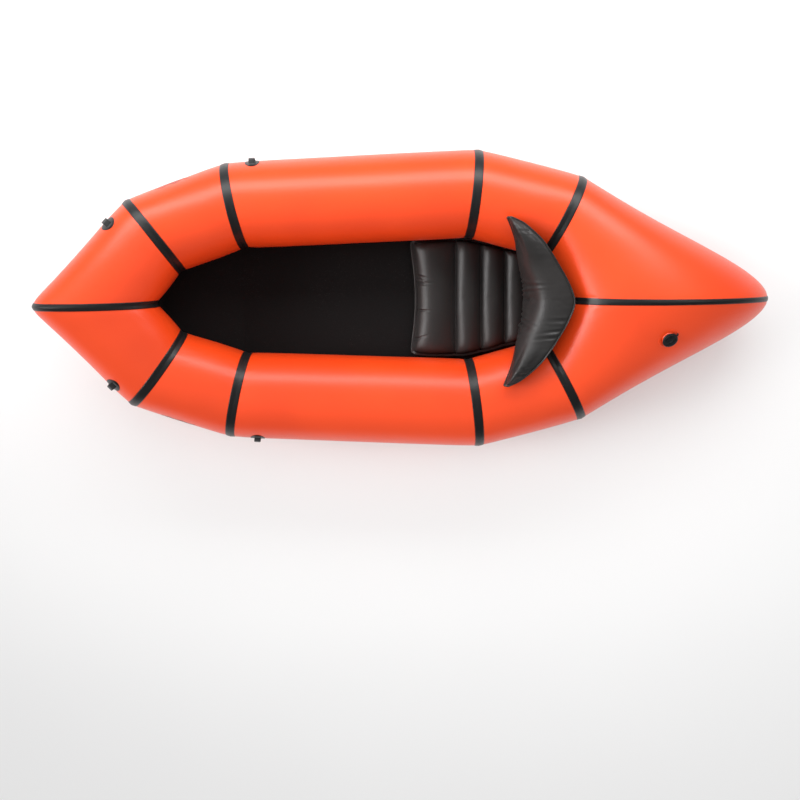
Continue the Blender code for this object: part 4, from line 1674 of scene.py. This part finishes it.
@dataclass
class Backrest(Cushion):
    """The backrest: a crescent air cushion that leans back over the stern, with two horns."""

    name: str = "backrest_pad"
    body: str = "backrest"
    stands_for: str = "backrest_cushion"
    columns: int = 124
    rows: int = 52
    cloth: tuple[float, float] = (0.58, 0.27)
    lip: float = 0.006
    fill: float = 0.9
    puff: Puff = Puff(most=0.008)
    # Across the boat: the lower front edge, the upper rear edge, and half the thickness between them.
    rows_across: Table = (
        (-0.060, -0.386, 0.154, -0.496, 0.337, 0.038),
        (0.000, -0.390, 0.152, -0.515, 0.338, 0.038),
        (0.060, -0.386, 0.154, -0.496, 0.337, 0.038),
        (0.120, -0.370, 0.172, -0.463, 0.337, 0.036),
        (0.160, -0.354, 0.216, -0.438, 0.339, 0.031),
        (0.195, -0.342, 0.259, -0.413, 0.338, 0.027),
        (0.225, -0.330, 0.287, -0.383, 0.337, 0.022),
        (0.252, -0.317, 0.305, -0.350, 0.333, 0.015),
        (0.268, -0.307, 0.319, -0.318, 0.328, 0.005),
    )
    port_lead: float = 0.010
    front_fill: float = 1.7
    horn: float = 0.267
    horn_crowding: float = 1.25
    valve: Vector = Vector((-0.436, 0.0325, 0.1936))
    valve_face: Vector = Vector((-0.78657, 0.19972, -0.58431))
    front_gathers: tuple[Crease, ...] = (
        Crease(-0.165, 0.006, 0.0020, 0.045, 0.2),
        Crease(-0.098, 0.006, 0.0026, 0.050, 0.2),
        Crease(-0.070, 0.005, 0.0034, 0.058, 0.1),
        Crease(-0.052, 0.0058, 0.0100, 0.070, 0.0),
        Crease(-0.037, 0.0045, 0.0056, 0.078, -0.1),
        Crease(-0.021, 0.0045, 0.0048, 0.072, -0.1),
        Crease(-0.006, 0.0042, 0.0036, 0.066),
        Crease(0.040, 0.0045, 0.0034, 0.062, 0.1),
        Crease(0.058, 0.0050, 0.0058, 0.080, 0.1),
        Crease(0.073, 0.0058, 0.0105, 0.072, 0.1),
        Crease(0.090, 0.0050, 0.0074, 0.066, 0.2),
        Crease(0.108, 0.0050, 0.0040, 0.056, 0.1),
        Crease(0.140, 0.006, 0.0026, 0.045, -0.2),
        Crease(0.175, 0.006, 0.0020, 0.040, -0.2),
    )
    rear_gathers: tuple[Crease, ...] = (
        Crease(-0.225, 0.005, 0.0018, 0.022),
        Crease(0.060, 0.006, 0.0030, 0.026),
        Crease(0.092, 0.005, 0.0034, 0.024, 0.2),
        Crease(0.114, 0.005, 0.0030, 0.024, 0.1),
        Crease(0.215, 0.005, 0.0030, 0.022, -0.2),
        Crease(0.232, 0.004, 0.0024, 0.020, -0.2),
    )

    def plan(self, across: float, along: float) -> tuple[float, float]:
        """Takes a pair of shares to -1..1, with more rows of points near the horns."""
        s, t = 2.0 * across - 1.0, 2.0 * along - 1.0
        return math.sin(s * self.horn_crowding) / math.sin(self.horn_crowding), t

    def station(self, y: float) -> tuple[Vector, Vector, float]:
        """The lower edge, the upper edge and half the thickness at a place across the boat."""
        low_x, low_z, high_x, high_z, half = curve_through(self.rows_across, abs(y))
        ahead = self.port_lead * smooth_step(0.09, 0.268, y)
        return Vector((low_x + ahead, y, low_z)), Vector((high_x + ahead, y, high_z)), half

    def across(self, y: float) -> Vector:
        """The direction from the rear face to the front face."""
        low, high, _ = self.station(y)
        rise = (high - low).normalized()
        return Vector((rise.z, 0.0, -rise.x)) if rise.length else UP

    def face(self, s: float, t: float, sign: float) -> Vector:
        """A point of either cloth.

        Args:
            s: Place across, from -1 to 1.
            t: Place along, from -1 to 1.
            sign: 1 for the front cloth, -1 for the rear one.

        Returns:
            The point.
        """
        y = s * self.rows_across[-1][0]
        low, high, half = self.station(y)
        share = (t + 1.0) / 2
        full = max(0.0, math.sin(math.pi * share)) ** 0.80
        if sign > 0.0:
            crown = max(0.0, math.sin(math.pi * share**2.1)) ** 0.9
            full = self.front_fill * (0.6 * full + 0.65 * crown)
        horn = rounded(s, 24.0)
        return low.lerp(high, share) + self.across(y) * sign * half * full * horn

    def upper(self, s: float, t: float) -> Vector:
        """A point of the front cloth."""
        return self.face(s, t, 1.0)

    def lower(self, s: float, t: float) -> Vector:
        """A point of the rear cloth."""
        return self.face(s, t, -1.0)

    def share_of(self, point: Vector) -> tuple[float, float, float]:
        """How far a point is from the lower and the upper edge, and which face it is on."""
        low, high, _ = self.station(max(-self.horn, min(self.horn, point.y)))
        rise = high - low
        share = (point - low).dot(rise) / rise.length_squared
        return share * rise.length, (1.0 - share) * rise.length, (point - low).dot(self.across(point.y))

    def held(self, point: Vector) -> float:
        """The weld line all round and the valve's place are held."""
        low, high, face = self.share_of(point)
        if min(low, high) < 0.004 and abs(face) < 0.012 or abs(point.y) > 0.2645:
            return 1.0
        return 1.0 if (point - self.valve).length < 0.014 else 0.0

    def finish_point(self, point: Vector, normal: Vector) -> Vector:
        """Presses in the gathers and levels the cloth under the valve.

        Args:
            point: A point of the cushion.
            normal: The surface's direction there.

        Returns:
            The moved point.
        """
        low, high, _ = self.share_of(point)
        low, high = max(low, 0.0), max(high, 0.0)
        edge = smooth_step(0.0, 0.006, low) * smooth_step(0.0, 0.006, high)
        depth = pressed(self.front_gathers, point.y, low) + pressed(self.rear_gathers, point.y, high)
        depth += ripple(3.3, point.y / 0.0115, low * 9.0) * 0.0010 * math.exp(-low / 0.024)
        depth += ripple(7.7, point.y / 0.012, high * 9.0) * 0.0007 * math.exp(-high / 0.018)
        depth += ripple(5.9, point.y * 9.0, low * 9.0) * 0.0012
        moved = point - normal * depth * edge
        flat = smooth_step(0.026, 0.013, (point - self.valve).length)
        moved -= self.valve_face * (moved - self.valve).dot(self.valve_face) * flat
        return moved

    def seam(self, s: float, t: float) -> float:
        """Distance to the nearest weld."""
        y = s * self.rows_across[-1][0]
        low, high, _ = self.station(y)
        return (1.0 - abs(t)) / 2 * (high - low).length

    def heart(self) -> Vector:
        """The middle of the backrest's outline."""
        return Vector((-0.43, 0.0, 0.27))

    def lip_up(self, point: Vector) -> Vector:
        """The lip lies in the plane between the two cloths."""
        return self.across(max(-self.horn, min(self.horn, point.y)))


# ---------------------------------------------------------------- lashing points
@dataclass
class LashPoint:
    """An oval patch welded to the hull, with a loop of webbing sewn over it."""

    form: HullForm
    word: str
    spot: Spot
    length: float = 0.050
    height: float = 0.072
    patch: float = 0.0011
    web: float = 0.0016
    width: float = 0.020
    span: float = 0.040
    sewn: float = 0.011
    foot: float = 0.0020
    rise: float = 0.0105
    tube_radius: float = 0.15
    rib_pitch: float = 0.0016
    stitch_pitch: float = 0.0022
    stitch_height: float = 0.0005

    def build(self) -> list[bpy.types.Object]:
        """Makes the patch and the loop on both sides."""
        return [make(side) for side in Side for make in (self.oval_patch, self.loop)]

    def oval_patch(self, side: Side) -> bpy.types.Object:
        """Makes the patch, draped on the tube, with a pressed weld ring inside its rim.

        Args:
            side: On which side.

        Returns:
            The patch.
        """

        def place(across: float, along: float) -> Vector:
            """A point of the patch, from its middle out to its rim.

            Args:
                across: Share of a turn round the patch.
                along: Share of the way from its middle to its rim.

            Returns:
                The point.
            """
            turn = across * math.tau
            weld = 0.00035 * math.exp(-(((along - 0.86) / 0.035) ** 2))
            lift = 0.0004 + self.patch * (0.35 + 0.65 * smooth_step(1.0, 0.95, along)) - weld
            along_tube = along * self.length / 2 * math.cos(turn)
            around = along * self.height / 2 * math.sin(turn)
            return side.of(self.spot.on_skin(self.form, along_tube, around, lift))

        bm = mapped_grid(64, 18, place, (0.19, 0.036), marks={"seam": lambda across, along: 0.05})
        out = side.of(self.outward())
        face_out(bm, lambda point: point - out)
        name = f"{self.word}_lash_patch_{side.word}"
        return make_piece(f"{self.word}_patch_{side.word}", bm, TAPE, stands_for=[name], wall=Wall(0.0008))

    def outward(self) -> Vector:
        """The direction out of the hull, on the port side."""
        return self.form.frame_at(self.spot.panel, self.spot.share, math.radians(self.spot.degrees))[3]

    def height_at(self, around: float) -> float:
        """Height of the webbing's underside over the patch.

        Args:
            around: Metres round the tube from the loop's middle.

        Returns:
            The height.
        """
        half = self.span / 2
        share = max(0.0, (half - abs(around)) / half)
        if share <= 0.0:
            return self.foot
        arch = self.rise * math.sin(0.5 * math.pi * min(1.0, 1.6 * share))
        return self.foot + (arch + around * around / (2.0 * self.tube_radius))

    def loop(self, side: Side) -> bpy.types.Object:
        """Makes the webbing: flat and sewn down at both ends, arched between them, with raised stitches.

        Args:
            side: On which side.

        Returns:
            The loop.
        """
        half = self.span / 2 + self.sewn

        def place(across: float, along: float) -> Vector:
            """A point of the webbing's upper face.

            Args:
                across: Share across the cloth.
                along: Share along the cloth.

            Returns:
                The point.
            """
            around = (2.0 * along - 1.0) * half
            over = (across - 0.5) * self.width
            selvedge = 0.0003 * smooth_step(0.86, 1.0, abs(2.0 * across - 1.0))
            ribs = 0.00008 * math.cos(around * math.tau / self.rib_pitch)
            stitches = 0.0
            if abs(around) > self.span / 2:
                row = abs(math.sin(over * math.pi / self.stitch_pitch))
                for stitch in (self.span / 2 + 0.0025, self.span / 2 + self.sewn - 0.0030):
                    near = math.exp(-(((abs(around) - stitch) / 0.0006) ** 2))
                    stitches += self.stitch_height * row * near
            lift = self.height_at(around) + self.web - selvedge + ribs + stitches
            return side.of(self.spot.on_skin(self.form, over, around, lift))

        bm = mapped_grid(20, 120, place, (self.width, 2.0 * half))
        out = side.of(self.outward())
        face_out(bm, lambda point: point - out)
        name = f"{self.word}_lash_loop_{side.word}"
        wall = Wall(self.web, bevel=0.0004)
        return make_piece(f"{self.word}_loop_{side.word}", bm, WEBBING, stands_for=[name], wall=wall)


# ---------------------------------------------------------------- air valve
@dataclass
class AirValve:
    """The big screw valve on the stern: an orange welded flange and a black gripped cap."""

    form: HullForm
    spot: Spot = Spot(Panel.STERN, 0.635, 74.0)
    flange_rim: float = 0.0335
    weld_rings: tuple[float, float] = (0.0262, 0.0296)
    grips: int = 28
    neck: Table = (
        (0.0175, -0.0084),
        (0.0175, 0.0040),
        (0.0180, 0.0045),
        (0.0206, 0.0045),
        (0.0211, 0.0040),
        (0.0218, 0.0026),
        (0.0228, 0.0016),
    )
    cap_profile: Table = (
        (0.0, 0.0020),
        (0.0129, 0.0020),
        (0.0129, 0.0044),
        (0.0112, 0.0044),
        (0.0112, 0.0062),
        (0.0129, 0.0062),
        (0.0129, 0.0103),
        (0.0236, 0.0103),
        (0.0244, 0.0106),
        (0.0248, 0.0114),
        (0.0247, 0.0128),
        (0.0238, 0.0140),
        (0.0222, 0.0147),
        (0.0205, 0.0148),
        (0.0192, 0.0141),
        (0.0178, 0.0128),
        (0.0160, 0.0124),
        (0.0080, 0.0123),
        (0.0, 0.0123),
    )

    def frame_matrix(self) -> Matrix:
        """The valve's own frame: Z out of the hull."""
        here, along, around, out = self.form.frame_at(
            self.spot.panel, self.spot.share, math.radians(self.spot.degrees)
        )
        return Matrix.Translation(here) @ Matrix((along, around, out)).transposed().to_4x4()

    def build(self) -> list[bpy.types.Object]:
        """Makes the flange and the cap."""
        return [self.flange(), self.cap()]

    def flange(self) -> bpy.types.Object:
        """Makes the flange, draped on the hull, with its neck and two pressed weld rings.

        Returns:
            The flange.
        """
        frame_matrix = self.frame_matrix()
        back = frame_matrix.inverted()
        neck_rows, skirt_rows = 4 * (len(self.neck) - 1), 22
        rows = neck_rows + skirt_rows
        foot, foot_height = self.neck[-1]

        def outline(along: float) -> tuple[float, float]:
            """Radius and height at a share of the way down the neck and out to the rim.

            Args:
                along: Share of the way.

            Returns:
                The radius and the height.
            """
            step = along * rows
            if step <= neck_rows:
                at = min(int(step / 4.0), len(self.neck) - 2)
                share = step / 4.0 - at
                return tuple(a + (b - a) * share for a, b in zip(self.neck[at], self.neck[at + 1]))
            share = (step - neck_rows) / skirt_rows
            radius = foot + (self.flange_rim - foot) * share
            rings = sum(0.0003 * math.exp(-(((radius - ring) / 0.0006) ** 2)) for ring in self.weld_rings)
            rim = 0.0010 * smooth_step(0.93, 1.0, share)
            return radius, foot_height - rings - rim

        def place(across: float, along: float) -> Vector:
            """A point of the flange: a turned neck, and a skirt that drapes on the hull.

            Args:
                across: Share of a turn round the valve.
                along: Share of the way down and out.

            Returns:
                The point.
            """
            turn = across * math.tau
            radius, height = outline(along)
            flat = frame_matrix @ Vector((radius * math.cos(turn), radius * math.sin(turn), height))
            if radius <= foot:
                return flat
            draped = self.spot.on_skin(self.form, radius * math.cos(turn), radius * math.sin(turn), height)
            local, goal = back @ flat, back @ draped
            local.z += (goal.z - local.z) * smooth_step(foot, 0.0275, radius)
            return frame_matrix @ local

        bm = mapped_grid(96, rows, place, (0.15, 0.02), marks={"seam": lambda across, along: 1.0})
        axis = frame_matrix.to_3x3() @ UP
        low = frame_matrix @ Vector((0.0, 0.0, -0.02))
        bm.normal_update()
        flat_faces = [face for face in bm.faces if (face.calc_center_median() - low).dot(axis) > 0.0]
        if sum(face.normal.dot(axis) for face in flat_faces) < 0.0:
            bmesh.ops.reverse_faces(bm, faces=bm.faces)
        return make_piece("air_valve_flange", bm, FLANGE, stands_for=["valve_flange"], wall=Wall(0.0008))

    def cap(self) -> bpy.types.Object:
        """Makes the cap: a gripped skirt, a dished top with a raised cross bar, and the plug below.

        Returns:
            The cap.
        """
        frame_matrix = self.frame_matrix()
        profile = self.cap_profile
        rows = (len(profile) - 1) * 4

        def place(across: float, along: float) -> Vector:
            """A point of the cap, with its grips, cross bar and pits.

            Args:
                across: Share of a turn round the cap.
                along: Share of the way along the profile.

            Returns:
                The point.
            """
            turn = across * math.tau
            step = along * (len(profile) - 1)
            at = min(int(step), len(profile) - 2)
            radius, height = (a + (b - a) * (step - at) for a, b in zip(profile[at], profile[at + 1]))
            grip = smooth_step(0.0236, 0.0246, radius) * smooth_step(0.0100, 0.0108, height)
            radius += 0.0009 * grip * (abs(math.cos(turn * self.grips / 2)) ** 0.6 - 0.6)
            if step > 13.5:
                x, y = radius * math.cos(turn), radius * math.sin(turn)
                bar = smooth_step(0.0046, 0.0034, abs(y)) * smooth_step(0.0186, 0.0172, abs(x))
                hub = smooth_step(0.0082, 0.0070, radius)
                pits = 0.0012 * (0.5 + 0.5 * math.cos(turn * 6.0)) * smooth_step(0.0090, 0.0105, radius)
                pits *= smooth_step(0.0165, 0.0150, radius)
                height += 0.0024 * max(bar, hub * 0.8)
                height -= pits * (1.0 - bar)
            return frame_matrix @ Vector((radius * math.cos(turn), radius * math.sin(turn), height))

        bm = mapped_grid(168, rows, place, (0.15, 0.06))
        bm.normal_update()
        bmesh.ops.recalc_face_normals(bm, faces=bm.faces)
        return make_piece("air_valve_cap", bm, PLASTIC, "cap", ["valve_cap"])


# ---------------------------------------------------------------- fittings kept from the frame
@dataclass
class KeptFittings:
    """Small turned and sewn fittings whose frame solids are already their real shape."""

    finishes: dict[str, Finish] = field(
        default_factory=lambda: {
            "valve_insert": PLASTIC,
            "valve_insert_seal": RUBBER,
            "valve_flap": RUBBER,
            "valve_leash": RUBBER,
            "valve_cap_seal": RUBBER,
            "backrest_bar": BAR,
            "backrest_strap_port": FLAT_WEBBING,
            "backrest_strap_starboard": FLAT_WEBBING,
            "seat_loop_port": FLAT_WEBBING,
            "seat_loop_starboard": FLAT_WEBBING,
            "backrest_valve_stem": PLASTIC,
            "backrest_valve_tube": PLASTIC,
            "seat_valve_stem": PLASTIC,
            "seat_valve_tube": PLASTIC,
        }
    )

    def dress(self) -> None:
        """Gives every kept fitting its finish."""
        for name, finish in self.finishes.items():
            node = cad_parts[name]
            node.data.materials.clear()
            node.data.materials.append(finish.material())
            LOG.info("%s: dressed as %s", name, finish.name)


# ---------------------------------------------------------------- the studio
@dataclass
class Studio:
    """A pale floor, soft boxes and the camera over the boat."""

    eye: Vector = Vector((0.0266, -0.1456, 2.4319))
    lean: Vector = Vector((0.0584, -0.0015, 0.0078))
    lens: float = 29.82
    shift: tuple[float, float] = (-0.0025, -0.13)
    room: float = 0.78
    backdrop: float = 0.93
    floor_half: float = 9.0
    floor_height: float = -0.0012

    def build(self) -> None:
        """Sets up the floor, the lights, the world and the camera."""
        self.floor()
        self.world()
        at, aim = Vector((0.1, -1.10, 1.0)), Vector((0.1, 0.05, 0.25))
        self.soft_box("low_strip", at, aim, size=(3.2, 0.40), watts=26.0)
        at, aim = Vector((3.0, -0.3, 2.0)), Vector((-0.35, 0.0, 0.15))
        self.soft_box("bow_box", at, aim, size=(2.4, 2.0), watts=9.0, spread=40.0)
        at, aim = Vector((0.0, 0.0, 4.2)), Vector((0.0, 0.0, 0.0))
        self.soft_box("top_box", at, aim, size=(7.0, 6.0), watts=40.0, gloss=False)
        self.camera()

    def floor(self) -> None:
        """Makes the floor."""
        bm = bmesh.new()
        bmesh.ops.create_grid(bm, x_segments=1, y_segments=1, size=self.floor_half)
        bmesh.ops.translate(bm, verts=bm.verts, vec=(0.0, 0.0, self.floor_height))
        mesh = bpy.data.meshes.new("studio_floor")
        bm.to_mesh(mesh)
        bm.free()
        floor = bpy.data.objects.new("studio_floor", mesh)
        mesh.materials.append(PALE.material())
        bpy.context.scene.collection.objects.link(floor)

    def world(self) -> None:
        """Fills the room with even pale light."""
        world = bpy.data.worlds.new("studio")
        bpy.context.scene.world = world
        world.use_nodes = True
        graph = Graph(world.node_tree)
        back = world.node_tree.nodes["Background"]
        back.inputs["Color"].default_value = (1.0, 1.0, 1.0, 1.0)
        seen = graph.node("ShaderNodeLightPath").outputs["Is Camera Ray"]
        graph.join(graph.spread(seen, 0.0, 1.0, self.room, self.backdrop), back.inputs["Strength"])
        world.cycles_visibility.glossy = False
        bpy.context.scene.view_settings.view_transform = "Standard"

    def soft_box(
        self,
        name: str,
        at: Vector,
        aim: Vector,
        size: tuple[float, float],
        watts: float,
        gloss: bool = True,
        spread: float = 180.0,
    ) -> None:
        """Hangs a soft box.

        Args:
            name: Its name.
            at: Where it hangs.
            aim: The point that it faces.
            size: Its width and height.
            watts: Its power.
            gloss: Whether it shows as a highlight.
            spread: How wide its beam is, in degrees.
        """
        light = bpy.data.lights.new(name, "AREA")
        light.shape, light.size, light.size_y, light.energy = "RECTANGLE", size[0], size[1], watts
        light.spread = math.radians(spread)
        box = bpy.data.objects.new(name, light)
        box.location = at
        box.rotation_euler = (aim - at).to_track_quat("-Z", "Y").to_euler()
        box.visible_camera = False
        box.visible_glossy = gloss
        bpy.context.scene.collection.objects.link(box)

    def camera(self) -> None:
        """Sets the camera over the boat, its right towards the stern."""
        data = bpy.data.cameras.new("overhead")
        data.lens, data.sensor_width = self.lens, 36.0
        data.shift_x, data.shift_y = self.shift
        data.clip_start = 0.05
        eye = bpy.data.objects.new("overhead", data)
        turned = Matrix.Rotation(self.lean.length, 3, self.lean.normalized())
        turned = turned @ Matrix(((-1.0, 0.0, 0.0), (0.0, -1.0, 0.0), (0.0, 0.0, 1.0)))
        pose = turned.transposed().to_4x4()
        pose.translation = self.eye
        eye.matrix_world = pose
        bpy.context.scene.collection.objects.link(eye)
        bpy.context.scene.camera = eye


def main() -> None:
    """Builds the boat piece by piece."""
    logging.basicConfig(level=logging.INFO, format="%(name)s: %(message)s")
    form = HullForm()
    valve = AirValve(form)
    panels = HullPanels(form, valve.frame_matrix()).build()
    SeamTapes(form).build()
    PrintedWaves(form).build()
    FloorSheet(form).build(panels)
    Seat().build()
    Backrest().build()
    LashPoint(form, "side", Spot(Panel.SIDE, 0.111, 23.0)).build()
    LashPoint(form, "bow", Spot(Panel.BOW, 0.21, 37.0)).build()
    valve.build()
    KeptFittings().dress()
    Studio().build()


if __name__ == "__main__":
    main()
